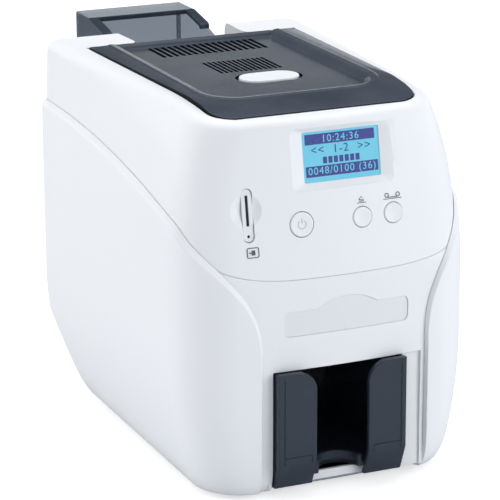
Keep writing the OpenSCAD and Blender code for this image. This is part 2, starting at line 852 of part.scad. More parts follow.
module chip_reader() {
    w = chip_w - 0.6;
    h = chip_h - 0.6;
    color(ivory) centred() on_front(chip_x, chip_z) difference() {
        union() {
            front_block(w, h, 1.4, 24);
            front_block(w + 5, h + 3, 3.4, 22);
        }
        translate([0, 0, 2.5]) front_block(1.2, 15.6, -1, 18);
        translate([0, 0, -11]) front_rod(1.6, -1, 10, 24);
    }
}

// ---- frame ---------------------------------------------------------------------

roller_z = path_z - roller_d / 2;
pick_y = body_d - 12.5;
feed_y = body_d - 33;
platen_y = head_y;
exit_y = 104;
pick_w = 26;
pinch_d = 9;
pinch_shaft = 4;
pinch_z = path_z + 0.9 + pinch_d / 2;
clean_y = (feed_y + head_y - 1) / 2;
clean_d = 12;
clean_z = path_z + 0.9 + clean_d / 2;
supply_y = lid_rear - 18.5;
takeup_y = 82;
spool_core = 18;
spool_pin = 6;
motor_y = 170;
motor_z = 60;
bush_d = shaft_d + 4;
guide_front_y = 122;
guide_rear_y = 163;
guide_z = path_z + 5;

module frame_plate(s) {
    x0 = s > 0 ? frame_x : -frame_x - frame_t;
    color(zinc) centred() difference() {
        translate([x0, 0, 0]) rotate([90, 0, 90]) linear_extrude(frame_t)
            polygon([[exit_y - 4, tray_z + tray_t], [body_d - undercut - 2, tray_z + tray_t],
                [pick_y + 4, base_z + undercut + 6], [pick_y + 4, path_z + 6],
                [feed_y + 8, path_z + 12],
                [hinge_y + 4, bridge_z - 4], [hinge_y - 9, bridge_z - 4],
                [supply_y - 17, spool_z + 14], [supply_y - 17, path_z + 4],
                [exit_y + 6, path_z + 12], [stud_y + 5, stud_z + 5],
                [takeup_y - 18, stud_z + 5], [takeup_y - 18, path_z - 4],
                [exit_y - 4, 96]]);
        for (y = [pick_y, feed_y, platen_y, exit_y])
            rod_x(bush_d, -big, big, y, roller_z, 48);
        for (p = [[feed_y, pinch_z], [exit_y, pinch_z], [clean_y, clean_z]])
            rod_x(pinch_shaft + 2 * run_fit, -big, big, p[0], p[1]);
        for (y = [supply_y, takeup_y])
            rod_x(spool_pin + 2 * run_fit, -big, big, y, spool_z);
        if (s < 0) rod_x(motor_boss_d, -60, 60, motor_y, motor_z, 48);
    }
}
motor_boss_d = 16;
module left_frame_plate() frame_plate(-1);
module right_frame_plate() frame_plate(1);

bar_d = 4;
module tie_bars() {
    color(steel) centred() for (p = [[120, 22], [body_d - 29, 48], [body_d - 19, 100], [118, 100], [72, 136],
            [guide_front_y, guide_z], [guide_rear_y, guide_z]])
        rod_x(bar_d, -frame_x, frame_x, p[0], p[1]);
}

module card_guides() {
    color(nylon) centred() for (s = [-1, 1], seg = [[exit_y + 9, platen_y - 14], [platen_y + 12, feed_y - 10]])
        translate([0, seg[0], 0]) {
            x0 = card_w / 2 - 1.5;
            x1 = card_w / 2 + 0.5;
            translate([s > 0 ? x0 : -frame_x, 0, path_z - 2.2])
                cube([frame_x - x0, seg[1] - seg[0], 2]);
            translate([s > 0 ? x1 : -x1 - 1.2, 0, path_z - 0.3])
                cube([1.2, seg[1] - seg[0], 1]);
        }
}

// Rubber sleeve on a shaft
module sleeve(d, w, y, z, inner) {
    color(rubber) centred() difference() {
        rod_x(d, -w / 2, w / 2, y, z, 64);
        rod_x(inner, -w, w, y, z);
    }
}
module pick_roller() sleeve(roller_d + 1.2, pick_w, pick_y, roller_z, shaft_d);
module feed_roller() sleeve(roller_d, card_w - 6, feed_y, roller_z, shaft_d);
module platen_roller() sleeve(roller_d, card_w + 3, platen_y, roller_z, shaft_d);
module exit_roller() sleeve(roller_d, card_w - 6, exit_y, roller_z, shaft_d);

belt_x = -46;
belt_w = 5;
pulley_d = 12;

// Shaft with a flanged belt pulley at its left end
module drive_shaft(y) {
    color(steel) centred() {
        rod_x(shaft_d, belt_x - 2, frame_x + 4, y, roller_z);
        rod_x(pulley_d, belt_x, belt_x + belt_w + 0.6, y, roller_z, 48);
        for (x = [belt_x - 1, belt_x + belt_w + 0.6])
            rod_x(pulley_d + 4, x, x + 1, y, roller_z, 48);
    }
}
module pick_shaft() drive_shaft(pick_y);
module feed_shaft() drive_shaft(feed_y);
module platen_shaft() drive_shaft(platen_y);
module exit_shaft() drive_shaft(exit_y);

module idle_roller(d, w, y, z) {
    color(steel) centred() {
        rod_x(d, -w / 2, w / 2, y, z, 48);
        rod_x(pinch_shaft, -frame_x - frame_t - 2, frame_x + frame_t + 2, y, z);
    }
}
module feed_pinch_roller() idle_roller(pinch_d, card_w - 8, feed_y, pinch_z);
module exit_pinch_roller() idle_roller(pinch_d, card_w - 8, exit_y, pinch_z);
module cleaning_roller() idle_roller(clean_d, card_w + 2, clean_y, clean_z);

module shaft_bushes() {
    color(nylon) centred() for (s = [-1, 1], y = [pick_y, feed_y, platen_y, exit_y])
        difference() {
            union() {
                rod_x(bush_d - 0.02, s > 0 ? frame_x - 1 : -frame_x - frame_t,
                    s > 0 ? frame_x + frame_t : -frame_x + 1, y, roller_z, 48);
                rod_x(bush_d + 2.5, s > 0 ? frame_x - 1 : -frame_x - 0,
                    s > 0 ? frame_x - 0 : -frame_x + 1, y, roller_z, 48);
            }
            rod_x(shaft_d + 2 * run_fit, -60, 60, y, roller_z);
        }
}

module motor_pulley() {
    color(steel) centred() {
        rod_x(shaft_d - 1, belt_x - 1, -frame_x - frame_t + 1, motor_y, motor_z);
        rod_x(pulley_d, belt_x, belt_x + belt_w + 0.6, motor_y, motor_z, 48);
        for (x = [belt_x - 1, belt_x + belt_w + 0.6])
            rod_x(pulley_d + 4, x, x + 1, motor_y, motor_z, 48);
    }
}

module belt_loop(grow) {
    hull() for (p = [[exit_y, roller_z], [pick_y, roller_z], [motor_y, motor_z]])
        translate(p) circle(pulley_d / 2 + grow, $fn = 32);
}
module drive_belt() {
    color(black) centred() translate([belt_x + gap, 0, 0]) rotate([90, 0, 90])
        linear_extrude(belt_w) difference() {
            belt_loop(gap + 1.2);
            belt_loop(gap);
        }
}

module drive_motor() {
    size = 35;
    color("#55595e") centred() {
        difference() {
            translate([-frame_x, motor_y - size / 2, motor_z - size / 2]) cube([30, size, size]);
            rod_x(shaft_d - 1 + 2 * run_fit, -60, -frame_x + 8, motor_y, motor_z);
        }
        difference() {
            rod_x(motor_boss_d - 0.04, -frame_x - frame_t, -frame_x, motor_y, motor_z, 48);
            rod_x(shaft_d - 1 + 2 * run_fit, -60, -frame_x + 8, motor_y, motor_z);
        }
    }
}

// ---- ribbon --------------------------------------------------------------------

gear_module = 1;
takeup_teeth = 36;
pinion_teeth = 12;
gear_x = arm_x + arm_t + 2.5;
gear_w = 5;
mesh_angle = -50;
mesh_d = gear_module * (takeup_teeth + pinion_teeth) / 2 + 0.2;
pinion_y = takeup_y + mesh_d * cos(mesh_angle);
pinion_z = spool_z + mesh_d * sin(mesh_angle);

// Angle in degrees that an involute has turned at radius r from base radius rb
function involute(rb, r) = r <= rb ? 0
    : sqrt(sq(r / rb) - 1) * 180 / PI - acos(rb / r);

// Spur gear outline with n involute teeth; a tooth lies on the X axis
module gear_outline(n, slack = 0.12) {
    m = gear_module;
    rp = m * n / 2;
    rb = rp * cos(20);
    r0 = rp - 1.2 * m;
    r1 = rp + 0.9 * m;
    radii = [r0, max(rb, r0) + 0.15, (rb + r1) / 2, r1];
    half_p = 90 / n - slack / rp * 90 / PI;
    polygon([for (t = [0:n - 1], side = [-1, 1], k = [0:3])
        let (r = side < 0 ? radii[k] : radii[3 - k],
            turn = half_p + involute(rb, rp) - involute(rb, r),
            a = 360 * t / n + side * turn)
        [r * cos(a), r * sin(a)]]);
}

// A gear on an axis along X, with its teeth turned by phase
module gear(n, x, y, z, bore, phase) {
    translate([x, y, z]) rotate([90, 0, 90]) linear_extrude(gear_w)
        difference() {
            rotate(phase) gear_outline(n);
            circle(d = bore, $fn = 32);
        }
}

module spool(y) {
    color(nylon) centred() {
        rod_x(spool_core, -card_w / 2 - 5, card_w / 2 + 5, y, spool_z, 48);
        for (x = [-card_w / 2 - 5.8, card_w / 2 + 4.6])
            rod_x(spool_core + 14, x, x + 1.2, y, spool_z, 64);
    }
}
module supply_spool() {
    spool(supply_y);
    color(nylon) centred() rod_x(spool_pin, -frame_x - frame_t - 2, frame_x + frame_t + 2, supply_y, spool_z);
}
module takeup_spool() {
    spool(takeup_y);
    color(nylon) centred() rod_x(spool_pin, -frame_x - frame_t - 2, gear_x + gear_w + 1, takeup_y, spool_z);
}

film_t = 0.25;
module ribbon_roll() {
    color("#3b2c4a") centred() difference() {
        rod_x(roll_d, -card_w / 2 + 1, card_w / 2 - 1, supply_y, spool_z, 64);
        rod_x(spool_core, -card_w, card_w, supply_y, spool_z, 48);
    }
}

// Point where a line from p touches the circle of radius r round c
function tangent(c, r, p, side) = let (
        d = norm(p - c),
        a = atan2(p[1] - c[1], p[0] - c[0]) + side * acos(r / d))
    c + r * [cos(a), sin(a)];

// Points of the film where it bends round a guide bar at c
function wrap(c, from, to) = [for (i = [0:4]) let (a = from + (to - from) * i / 4)
    c + (bar_d / 2 + film_t) * [cos(a), sin(a)]];

module ribbon_film() {
    z = path_z + 1.05;
    rear = wrap([guide_rear_y, guide_z], -25, -113);
    front = wrap([guide_front_y, guide_z], -67, -117);
    path = concat([tangent([supply_y, spool_z], roll_d / 2 + 0.4, rear[0], -1)], rear,
        [[head_y + 14, z], [head_y - 14, z]], front,
        [tangent([takeup_y, spool_z], spool_core / 2 + 0.4, front[4], -1)]);
    color("#4b3a5c") centred() translate([-card_w / 2 + 1, 0, 0]) rotate([90, 0, 90])
        linear_extrude(card_w - 2) union() {
            for (i = [0:len(path) - 2])
                let (d = path[i + 1] - path[i], l = norm(d), a = atan2(d[1], d[0]))
                translate(path[i]) rotate(a) translate([-film_t / 2, -film_t / 2])
                    square([l + film_t, film_t]);
        }
}

module takeup_gear() {
    color(nylon) centred() gear(takeup_teeth, gear_x, takeup_y, spool_z, spool_pin, mesh_angle);
}

module ribbon_pinion() {
    color("#c9a14a") centred() {
        gear(pinion_teeth, gear_x, pinion_y, pinion_z, 3, mesh_angle + 180 + 180 / pinion_teeth);
        rod_x(3, gear_x - 1, gear_x + gear_w + 4, pinion_y, pinion_z);
    }
}

module ribbon_motor() {
    x0 = gear_x + gear_w + 1;
    color("#55595e") centred() {
        difference() {
            union() {
                rod_x(24, x0 + 1.5, x0 + 18, pinion_y, pinion_z, 64);
                translate([x0, pinion_y - 20, pinion_z - 14]) cube([1.5, 36, 28]);
            }
            rod_x(3 + 2 * run_fit, x0 - 5, x0 + 6, pinion_y, pinion_z);
        }
    }
    color(steel) centred() for (p = [[-14, -12], [13, -11]])
        rod_x(4, frame_x + frame_t, x0, pinion_y + p[0], pinion_z + p[1]);
}

// ---- electronics ---------------------------------------------------------------

board_t = 1.6;
board_front = 112;
board_low = 24;
board_top = path_z - 5;
module main_board() {
    y1 = body_d - 8;
    y2 = body_d - undercut + 5;
    color(board_green) centred() translate([board_x, 0, 0]) rotate([90, 0, 90]) linear_extrude(board_t)
        polygon([[board_front, board_low], [y2, board_low], [y1, board_low + y1 - y2], [y1, board_top],
            [board_front, board_top]]);
    color(black) centred() for (p = [[18, 16, 22, 22], [53, 66, 16, 20], [78, 16, 12, 24]])
        translate([board_x + board_t, board_front + p[0], board_low + p[1]])
            cube([3, p[2], p[3]]);
    color("#c8a24a") centred() for (y = [board_front + 6, 205], z = [60, board_top - 12])
        rod_x(5, frame_x + frame_t, board_x, y, z);
}

// Network socket above a square data socket, each soldered to the board
module port_sockets() {
    color(steel) centred() for (p = [[socket_z + 9, 16, 14, 11.8, 8.4], [socket_z - 10, 12, 11, 8.4, 7.8]])
        translate([socket_x, body_d, p[0]]) difference() {
            translate([board_x + board_t - socket_x, -18, -p[2] / 2])
                cube([p[1] / 2 + socket_x - board_x - board_t, 18, p[2]]);
            translate([-p[3] / 2, -12, -p[4] / 2]) cube([p[3], 20, p[4]]);
        }
}

module power_inlet() {
    color(black) centred() difference() {
        union() {
            translate([inlet_x - 13.5, body_d - 22, inlet_z - 10]) cube([27, 23, 20]);
            translate([inlet_x - 16, body_d, inlet_z - 12.5]) cube([32, 2, 25]);
        }
        translate([inlet_x - 11, body_d - 14, inlet_z - 7.5]) cube([22, 30, 15]);
    }
    color(steel) centred() for (x = [-6, 0, 6])
        translate([inlet_x + x - 1, body_d - 15, inlet_z - 2]) cube([2, 10, 4]);
}

module switch_frame() {
    color(black) centred() translate([inlet_x, body_d, rocker_z]) difference() {
        union() {
            translate([-9, -14, -12.5]) cube([18, 15, 25]);
            translate([-12, 0, -14.5]) cube([24, 1.5, 29]);
        }
        translate([-rocker_w / 2 - 0.4, -10, -rocker_l / 2 - 1.6])
            cube([rocker_w + 0.8, 20, rocker_l + 3.2]);
        rod_x(2 + 2 * run_fit, -8, 8, -3, 0);
    }
}

module power_rocker() {
    color("#303338") centred() translate([inlet_x, body_d, rocker_z]) {
        rotate([90, 0, 90]) translate([0, 0, -rocker_w / 2]) linear_extrude(rocker_w)
            polygon([[-6, -5], [1, -rocker_l / 2], [2.6, -rocker_l / 2], [1.2, 0],
                [2.6, rocker_l / 2], [1, rocker_l / 2], [-6, 5]]);
        rod_x(2, -rocker_w / 2 - 2, rocker_w / 2 + 2, -3, 0);
    }
}

upper_casing();
left_side_panel();
right_side_panel();
front_cover();
rear_panel();
base_tray();
feet();
lid_cover();
lid_frame();
lid_button();
lid_latch();
latch_rod();
latch_studs();
hinge_brackets();
hinge_pins();
head_bracket();
print_head();
head_heatsink();
hopper_box();
card_weight();
hopper_gate();
stacker_tray();
display_glass();
display_board();
power_button();
eject_button();
ribbon_button();
chip_reader();
left_frame_plate();
right_frame_plate();
tie_bars();
card_guides();
pick_roller();
pick_shaft();
feed_roller();
feed_shaft();
platen_roller();
platen_shaft();
exit_roller();
exit_shaft();
feed_pinch_roller();
exit_pinch_roller();
cleaning_roller();
shaft_bushes();
motor_pulley();
drive_belt();
drive_motor();
supply_spool();
takeup_spool();
ribbon_roll();
ribbon_film();
takeup_gear();
ribbon_pinion();
ribbon_motor();
main_board();
port_sockets();
power_inlet();
switch_frame();
power_rocker();
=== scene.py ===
# %% [markdown]
# # An ID card printer, dressed surface by surface
# The printer's working parts arrive as fixed solids. Around them this lesson
# makes the visible mouldings as surfaces worked out with numpy, gives every
# part a finish made from shader nodes, and lights the result like a product
# shot in a small studio. Lengths are in millimetres until a mesh is made.

# %% Load the frame
import bmesh
import bpy
import math
import numpy as np
from mathutils import Euler, Matrix, Vector


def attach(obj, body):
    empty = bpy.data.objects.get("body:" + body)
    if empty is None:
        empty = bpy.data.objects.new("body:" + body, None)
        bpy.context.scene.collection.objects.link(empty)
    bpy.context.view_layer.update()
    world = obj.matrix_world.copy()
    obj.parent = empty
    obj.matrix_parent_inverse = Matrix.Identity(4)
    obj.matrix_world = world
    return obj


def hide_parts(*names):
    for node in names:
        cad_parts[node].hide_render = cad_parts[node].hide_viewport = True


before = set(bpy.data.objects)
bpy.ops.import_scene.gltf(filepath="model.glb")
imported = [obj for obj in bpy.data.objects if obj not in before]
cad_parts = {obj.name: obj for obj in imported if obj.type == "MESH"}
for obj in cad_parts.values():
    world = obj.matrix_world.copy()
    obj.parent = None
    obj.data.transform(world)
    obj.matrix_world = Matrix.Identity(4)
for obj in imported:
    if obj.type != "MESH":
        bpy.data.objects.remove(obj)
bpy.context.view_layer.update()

# %% [markdown]
# ## Sizes that several pieces share
# X runs to the right, Y to the rear, Z up. Depths are counted from the lip of
# the card stacker, the foremost edge, because that is how the mouldings were
# drawn. One shift at the end brings them to the middle of the printer.

# %% Shared sizes
MM = 0.001
LIP = 156.0                     # the stacker lip lies this far in front of the origin
WIDTH, DEPTH, HEIGHT = 172.0, 241.0, 212.0
WALL, STEP = 2.5, 2.7           # wall thickness; how far the side panels stand proud
CORNER, REAR_CORNER = 28.0, 9.0
EDGE = 5.0                      # radius of the long top edge
LEAN = math.radians(9.5)        # of the front above the seam
SEAM, SHOULDER = 122.5, 147.0   # heights of the front's seam and of the shoulders' start
TUCK, TUCK_IN = 75.0, 11.0      # below this height each side tucks in, by this much at z = 0
FRONT_IN, REAR_IN = 14.0, 2.0   # how far a side leans in at the top, in front and at the rear
FOOT, FOOT_IN, FOOT_UP = 2.5, 5.0, 15.0   # lower edge of the shells and its rounding
FRONT, BOW = 5.0, 2.5           # depth of the front's middle, and how far it bulges
NOTCH = 35.6                    # half the width of the open notch at the rear
FRONT_MID, FRONT_HALF = 4.5, 49.5   # middle and half width of the cover between the panels
SLOPE = 52.0                    # length and height of the sloped lower rear
print("envelope", WIDTH, DEPTH, HEIGHT)

# %% [markdown]
# ## From loops to solids
# Almost every moulding here is a stack of closed loops: a button is a stack of
# circles, a wall is a row of cross-sections. So one function is enough to skin
# them. It puts quads between neighbouring loops and one face over each end,
# and gives back a closed solid whose faces all point outwards.

# %% Skin a stack of loops
def shown(name, data):
    """An object at the origin that shows the data, linked to the scene."""
    obj = bpy.data.objects.new(name, data)
    bpy.context.scene.collection.objects.link(obj)
    return obj


def form(name, points, faces):
    """A mesh object from points in millimetres, welded, with its faces turned outwards."""
    mesh = bpy.data.meshes.new(name)
    mesh.from_pydata((points.reshape(-1, 3) * MM).tolist(), [], faces)
    work = bmesh.new()
    work.from_mesh(mesh)
    bmesh.ops.remove_doubles(work, verts=work.verts, dist=2e-6)
    bmesh.ops.dissolve_degenerate(work, edges=work.edges, dist=1e-6)
    bmesh.ops.recalc_face_normals(work, faces=work.faces)
    work.to_mesh(mesh)
    work.free()
    return shown(name, mesh)


def skinned(name, stack):
    """Closed solid over a stack of loops, an array of loops x points x 3.
    Point j of loop i is joined to its neighbours j+1 and i+1; the first and
    the last loop are closed with one face each."""
    loops, count = stack.shape[:2]
    index = np.arange(loops * count).reshape(loops, count)
    after = np.roll(index, -1, axis=1)
    quads = np.stack([index[:-1], after[:-1], after[1:], index[1:]], -1).reshape(-1, 4)
    return form(name, stack, quads.tolist() + [index[0].tolist(), index[-1, ::-1].tolist()])


def joined(name, parts):
    """One object that holds the meshes of several."""
    work = bmesh.new()
    for part in parts:
        work.from_mesh(part.data)
        bpy.data.objects.remove(part)
    mesh = bpy.data.meshes.new(name)
    work.to_mesh(mesh)
    work.free()
    return shown(name, mesh)


def carved(obj, cutters, how="DIFFERENCE"):
    """Cuts the cutters out of obj, or adds them with UNION, applies that and removes them."""
    for cutter in cutters:
        cut = obj.modifiers.new("cut", "BOOLEAN")
        cut.object, cut.operation, cut.solver = cutter, how, "MANIFOLD"
    solid = obj.evaluated_get(bpy.context.evaluated_depsgraph_get())
    mesh = bpy.data.meshes.new_from_object(solid)
    obj.modifiers.clear()
    obj.data = mesh
    for cutter in cutters:
        bpy.data.objects.remove(cutter)
    return obj


def dress(obj, material, body, slot, *nodes, angle=32, bevel=0, segments=3):
    """Gives a finished solid its material and its body, and hides the nodes it stands for."""
    obj.data.materials.clear()
    obj.data.materials.append(material)
    obj.data.shade_smooth()
    obj.data.set_sharp_from_angle(angle=math.radians(angle))
    if bevel:
        round_off = obj.modifiers.new("edges", "BEVEL")
        round_off.width, round_off.segments = bevel * MM, segments
        round_off.limit_method, round_off.angle_limit = "ANGLE", math.radians(40)
    # Wide flat faces keep their own normal, and the narrow rounding beside them bends
    steady = obj.modifiers.new("flat_faces", "WEIGHTED_NORMAL")
    steady.keep_sharp = True
    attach(obj, body)
    if nodes:
        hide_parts(*nodes)
    print(obj.name, len(obj.data.polygons), "faces")
    return obj


# %% [markdown]
# ## Finishes
# A colour picked as an sRGB hex value is turned to the linear values that the
# shader works in. One small function adds a node; everything else is a chain
# of such calls, so each finish reads like its recipe.

# %% Colour and node helpers
def linear(text):
    """Linear colour of an sRGB hex value: c/12.92 below 0.04045, else ((c+0.055)/1.055)^2.4."""
    c = np.array([int(text[i:i + 2], 16) for i in (1, 3, 5)]) / 255
    c = np.where(c < 0.04045, c / 12.92, ((c + 0.055) / 1.055) ** 2.4)
    return (*c.tolist(), 1.0)


def add(tree, kind, sockets=(), **settings):
    """Adds a shader node, sets its properties, and sets or links its sockets."""
    node = tree.nodes.new("ShaderNode" + kind)
    for key, value in settings.items():
        setattr(node, key, value)
    for key, value in dict(sockets).items():
        if isinstance(value, bpy.types.NodeSocket):
            tree.links.new(value, node.inputs[key])
        else:
            node.inputs[key].default_value = value
    return node


def finish(name, colour, **sockets):
    """A new material with one Principled shader; socket names use _ for spaces."""
    material = bpy.data.materials.new(name)
    material.use_nodes = True
    tree = material.node_tree
    tree.nodes.clear()
    shader = add(tree, "BsdfPrincipled", {"Base Color": linear(colour)})
    for key, value in sockets.items():
        shader.inputs[key.replace("_", " ")].default_value = value
    add(tree, "OutputMaterial", {"Surface": shader.outputs[0]})
    where = add(tree, "TexCoord").outputs["Object"]
    return material, tree, shader, where


def grain(tree, where, size_mm, depth_mm, detail=3.0, stretch=(1, 1, 1), rounding=0.0):
    """Noise with bumps size_mm across and depth_mm deep; returns the bent normal
    and the noise. rounding also softens edges to that radius for the light."""
    mapped = add(tree, "Mapping", {"Vector": where, "Scale": stretch})
    noise = add(tree, "TexNoise", {"Vector": mapped.outputs[0], "Scale": 1 / (size_mm * MM),
                                   "Detail": detail, "Roughness": 0.5})
    bump = add(tree, "Bump", {"Height": noise.outputs[0], "Distance": depth_mm * MM})
    if rounding:
        edge = add(tree, "Bevel", {"Radius": rounding * MM}, samples=6)
        tree.links.new(edge.outputs[0], bump.inputs["Normal"])
    return bump.outputs[0], noise.outputs[0]


def spread(tree, value, low, high, dark=0.3, light=0.7):
    """Maps the range dark..light of a texture value to low..high."""
    return add(tree, "MapRange", {"Value": value, "From Min": dark, "From Max": light,
                                  "To Min": low, "To Max": high}).outputs[0]


def blend(tree, share, first, second):
    """Mixes two colours, each a hex value or a socket, by a share from 0 to 1."""
    first, second = (linear(c) if isinstance(c, str) else c for c in (first, second))
    return add(tree, "Mix", {0: share, 6: first, 7: second}, data_type="RGBA").outputs[2]


print("white is", [round(v, 3) for v in linear("#f2f4f7")])

# %% [markdown]
# ### Glossy ABS of the body
# The white mouldings are ABS from a polished mould. Such a surface isn't a
# mirror: the plastic shrinks as it cools and leaves a very shallow waviness a
# few millimetres long, so reflections of lamps have soft, uneven borders. Edges
# keep a small radius, which is where a white object gets its highlights.

# %% White ABS, moulded and polished
abs_white, tree, shader, where = finish(
    "abs_white_moulded", "#f1f3f6", Roughness=0.34, IOR=1.53, Coat_Weight=0.15,
    Coat_Roughness=0.12)
bent, _ = grain(tree, where, 9, 0.02, rounding=0.5)
tree.links.new(bent, shader.inputs["Normal"])
fine = add(tree, "TexNoise", {"Vector": where, "Scale": 1 / (1.2 * MM), "Detail": 2.0})
tree.links.new(spread(tree, fine.outputs[0], 0.31, 0.38), shader.inputs["Roughness"])
print(abs_white.name, len(tree.nodes), "nodes")

# %% [markdown]
# ### Smoked polycarbonate
# The lid, hopper and stacker are tinted clear plastic. Seen on a slant, the
# clear surface mirrors the bright room, while the body of the plate swallows
# most light and lets a little through. Mixing a glossy dark shader with plain
# see-through tint gives that, and thin plates that overlap stay clean. Four
# mixes follow: the lid's dark plate, whose upright faces are painted near black,
# partly as its dark edges and partly as painted shade in its slots and gutter,
# the hopper's thin clear one, its milky hood, and the darker plastic of the
# rails and the stacker.

# %% Smoked polycarbonate, polished
def smoked(name, colour, tint, clear, cloud=0.0, edges=0.0):
    """Tinted clear plastic: share clear of the light passes with the colour tint.
    cloud is the share by which patches of the surface look milky, and edges the
    share by which upright faces are painted near black by their facing alone:
    partly the dark edge of a tinted plate seen along it, partly painted shade on
    the walls of slots and gutters."""
    material, tree, shader, where = finish(name, colour, Roughness=0.16, IOR=1.58)
    bent, _ = grain(tree, where, 14, 0.03, rounding=0.35)
    tree.links.new(bent, shader.inputs["Normal"])
    scuffs = add(tree, "TexNoise", {"Vector": where, "Scale": 1 / (3 * MM), "Detail": 6.0})
    tree.links.new(spread(tree, scuffs.outputs[0], 0.12, 0.24), shader.inputs["Roughness"])
    if cloud:
        patch = add(tree, "TexNoise", {"Vector": where, "Scale": 1 / (40 * MM), "Detail": 2.0})
        milky = blend(tree, spread(tree, patch.outputs[0], 0.0, cloud), colour, "#aeb6bf")
        tree.links.new(milky, shader.inputs["Base Color"])
    through = add(tree, "BsdfTransparent", {"Color": linear(tint)})
    mix = add(tree, "MixShader", {0: clear, 1: shader.outputs[0], 2: through.outputs[0]})
    # Painted shade: every upright face, the lid's edges and the walls of its slots and gutter
    # alike, is mixed towards a painted black by its facing alone
    if edges:
        facing = add(tree, "SeparateXYZ", {0: add(tree, "TexCoord").outputs["Normal"]})
        level_z = add(tree, "Math", {0: facing.outputs["Z"]}, operation="ABSOLUTE")
        upright = spread(tree, level_z.outputs[0], edges, 0.0, 0.25, 0.6)
        dark = add(tree, "BsdfDiffuse", {"Color": linear("#0d1116")})
        mix = add(tree, "MixShader", {0: upright, 1: mix.outputs[0], 2: dark.outputs[0]})
    tree.links.new(mix.outputs[0], tree.nodes["Material Output"].inputs["Surface"])
    return material


# The lid's upright faces are painted 0.85 of the way to black: dark edges, and painted shade in its
# slots and gutter
smoke = smoked("polycarbonate_smoked_polished", "#3e4856", "#8894a2", 0.25, 0.1, 0.85)
hopper_smoke = smoked("polycarbonate_smoked_thin", "#4a5057", "#c6ccd3", 0.7)
hood_smoke = smoked("polycarbonate_smoked_milky", "#9aa2aa", "#c6ccd3", 0.35)
dark_smoke = smoked("polycarbonate_dark_smoked", "#434e5c", "#8d99a6", 0.46)
print("smoked", [m.name for m in (smoke, hopper_smoke, hood_smoke, dark_smoke)])

# %% [markdown]
# ### Inner finishes
# The mechanism only shows with the lid up, but each part still gets the finish
# of its real material: ground steel, plated sheet, cut aluminium, natural
# nylon, rubber, a solder-masked board.

# %% Metals, rubber and plastics of the mechanism
def plain(name, colour, size_mm, depth_mm, low, high, stretch=(1, 1, 1), shade=None, **sockets):
    """One material whose bump and roughness follow the same grain; shade is a
    second colour that the grain mixes in."""
    material, tree, shader, where = finish(name, colour, **sockets)
    bent, noise = grain(tree, where, size_mm, depth_mm, stretch=stretch)
    tree.links.new(bent, shader.inputs["Normal"])
    tree.links.new(spread(tree, noise, low, high), shader.inputs["Roughness"])
    if shade:
        tree.links.new(blend(tree, spread(tree, noise, 0, 1), colour, shade),
                       shader.inputs["Base Color"])
    return material


# Ground along X, so the scratches run along the shafts
steel = plain("steel_ground", "#b4b8bc", 0.5, 0.004, 0.2, 0.34, (0.08, 1, 1), Metallic=1.0)
# Zinc crystals a few millimetres across show as patches of different gloss
zinc = plain("steel_sheet_zinc_plated", "#c3c8cd", 3.5, 0.003, 0.3, 0.46, shade="#aeb5bb",
             Metallic=1.0)
aluminium = plain("aluminium_extruded", "#b9bdc2", 0.6, 0.006, 0.3, 0.42, (0.1, 1, 1),
                  Metallic=1.0)
brass = plain("brass_turned", "#c9a766", 0.4, 0.003, 0.2, 0.32, (1, 4, 4), Metallic=1.0)
# Rubber is dull and slightly dusty, so its colour breaks up with the grain
rubber = plain("rubber_moulded", "#232426", 0.5, 0.03, 0.62, 0.8, shade="#2e2f31")
silicone = plain("silicone_rollers_ground", "#55585c", 0.35, 0.02, 0.5, 0.66, shade="#484b50")
nylon = plain("nylon_moulded_natural", "#ddd6c4", 1.5, 0.01, 0.38, 0.5, shade="#e6e0d0",
              Subsurface_Weight=0.15, Subsurface_Scale=0.002)
black_abs = plain("abs_black_spark_eroded", "#1b1c1e", 0.35, 0.03, 0.48, 0.62, shade="#232427")
motor_paint = plain("steel_motor_case_painted", "#4b4f54", 0.8, 0.01, 0.34, 0.44, shade="#42464b",
                    Metallic=0.4)
ceramic = plain("ceramic_print_head_glazed", "#e4e1d8", 2.5, 0.004, 0.14, 0.24, shade="#d8d2c4")
copper_board = plain("fibreglass_solder_mask_green", "#1d5a39", 1.0, 0.01, 0.26, 0.36,
                     shade="#17492e", Coat_Weight=0.3)

# %% [markdown]
# The print ribbon is a thin film with panels of yellow, magenta, cyan and black
# dye one after another. A sawtooth along the film's length, read as a colour
# ramp with hard steps, lays the panels out at their real length.

# %% Dye ribbon film
ribbon_film, tree, shader, where = finish("film_dye_panels", "#3b2c4a", Roughness=0.2,
                                          Coat_Weight=0.4)
PANEL_SET = 62.0       # one set of four panels, shortened so that each shows
axes = add(tree, "SeparateXYZ", {0: where})
turns = add(tree, "Math", {0: axes.outputs["Y"], 1: 1 / (PANEL_SET * MM)}, operation="MULTIPLY")
saw = add(tree, "Math", {0: turns.outputs[0]}, operation="FRACT")
ramp = add(tree, "ValToRGB", {0: saw.outputs[0]})
ramp.color_ramp.interpolation = "CONSTANT"
for place, colour in zip((0, 0.25, 0.5, 0.75), ("#c8a21c", "#9c2b5c", "#1f6f9a", "#1c1b20")):
    stop = ramp.color_ramp.elements[0] if place == 0 else ramp.color_ramp.elements.new(place)
    stop.color = linear(colour)
tree.links.new(ramp.outputs[0], shader.inputs["Base Color"])
bent, _ = grain(tree, where, 6, 0.02, stretch=(1, 0.2, 1))
tree.links.new(bent, shader.inputs["Normal"])
print("materials", len(bpy.data.materials))

# %% [markdown]
# ## Camera, lamps and floor
# The printer is seen from the left, a little above. A long lens keeps its
# uprights nearly parallel. The room is a bright tent: wide soft lamps at the
# left, the right and overhead, and a pale sky for the rest. Polished plastic
# doesn't mirror the lamps themselves but the tent behind them, which is bright
# low down and overhead and dim between: so a level plate stays dark, and one
# that tips away, such as a bead or a rail, lights up.

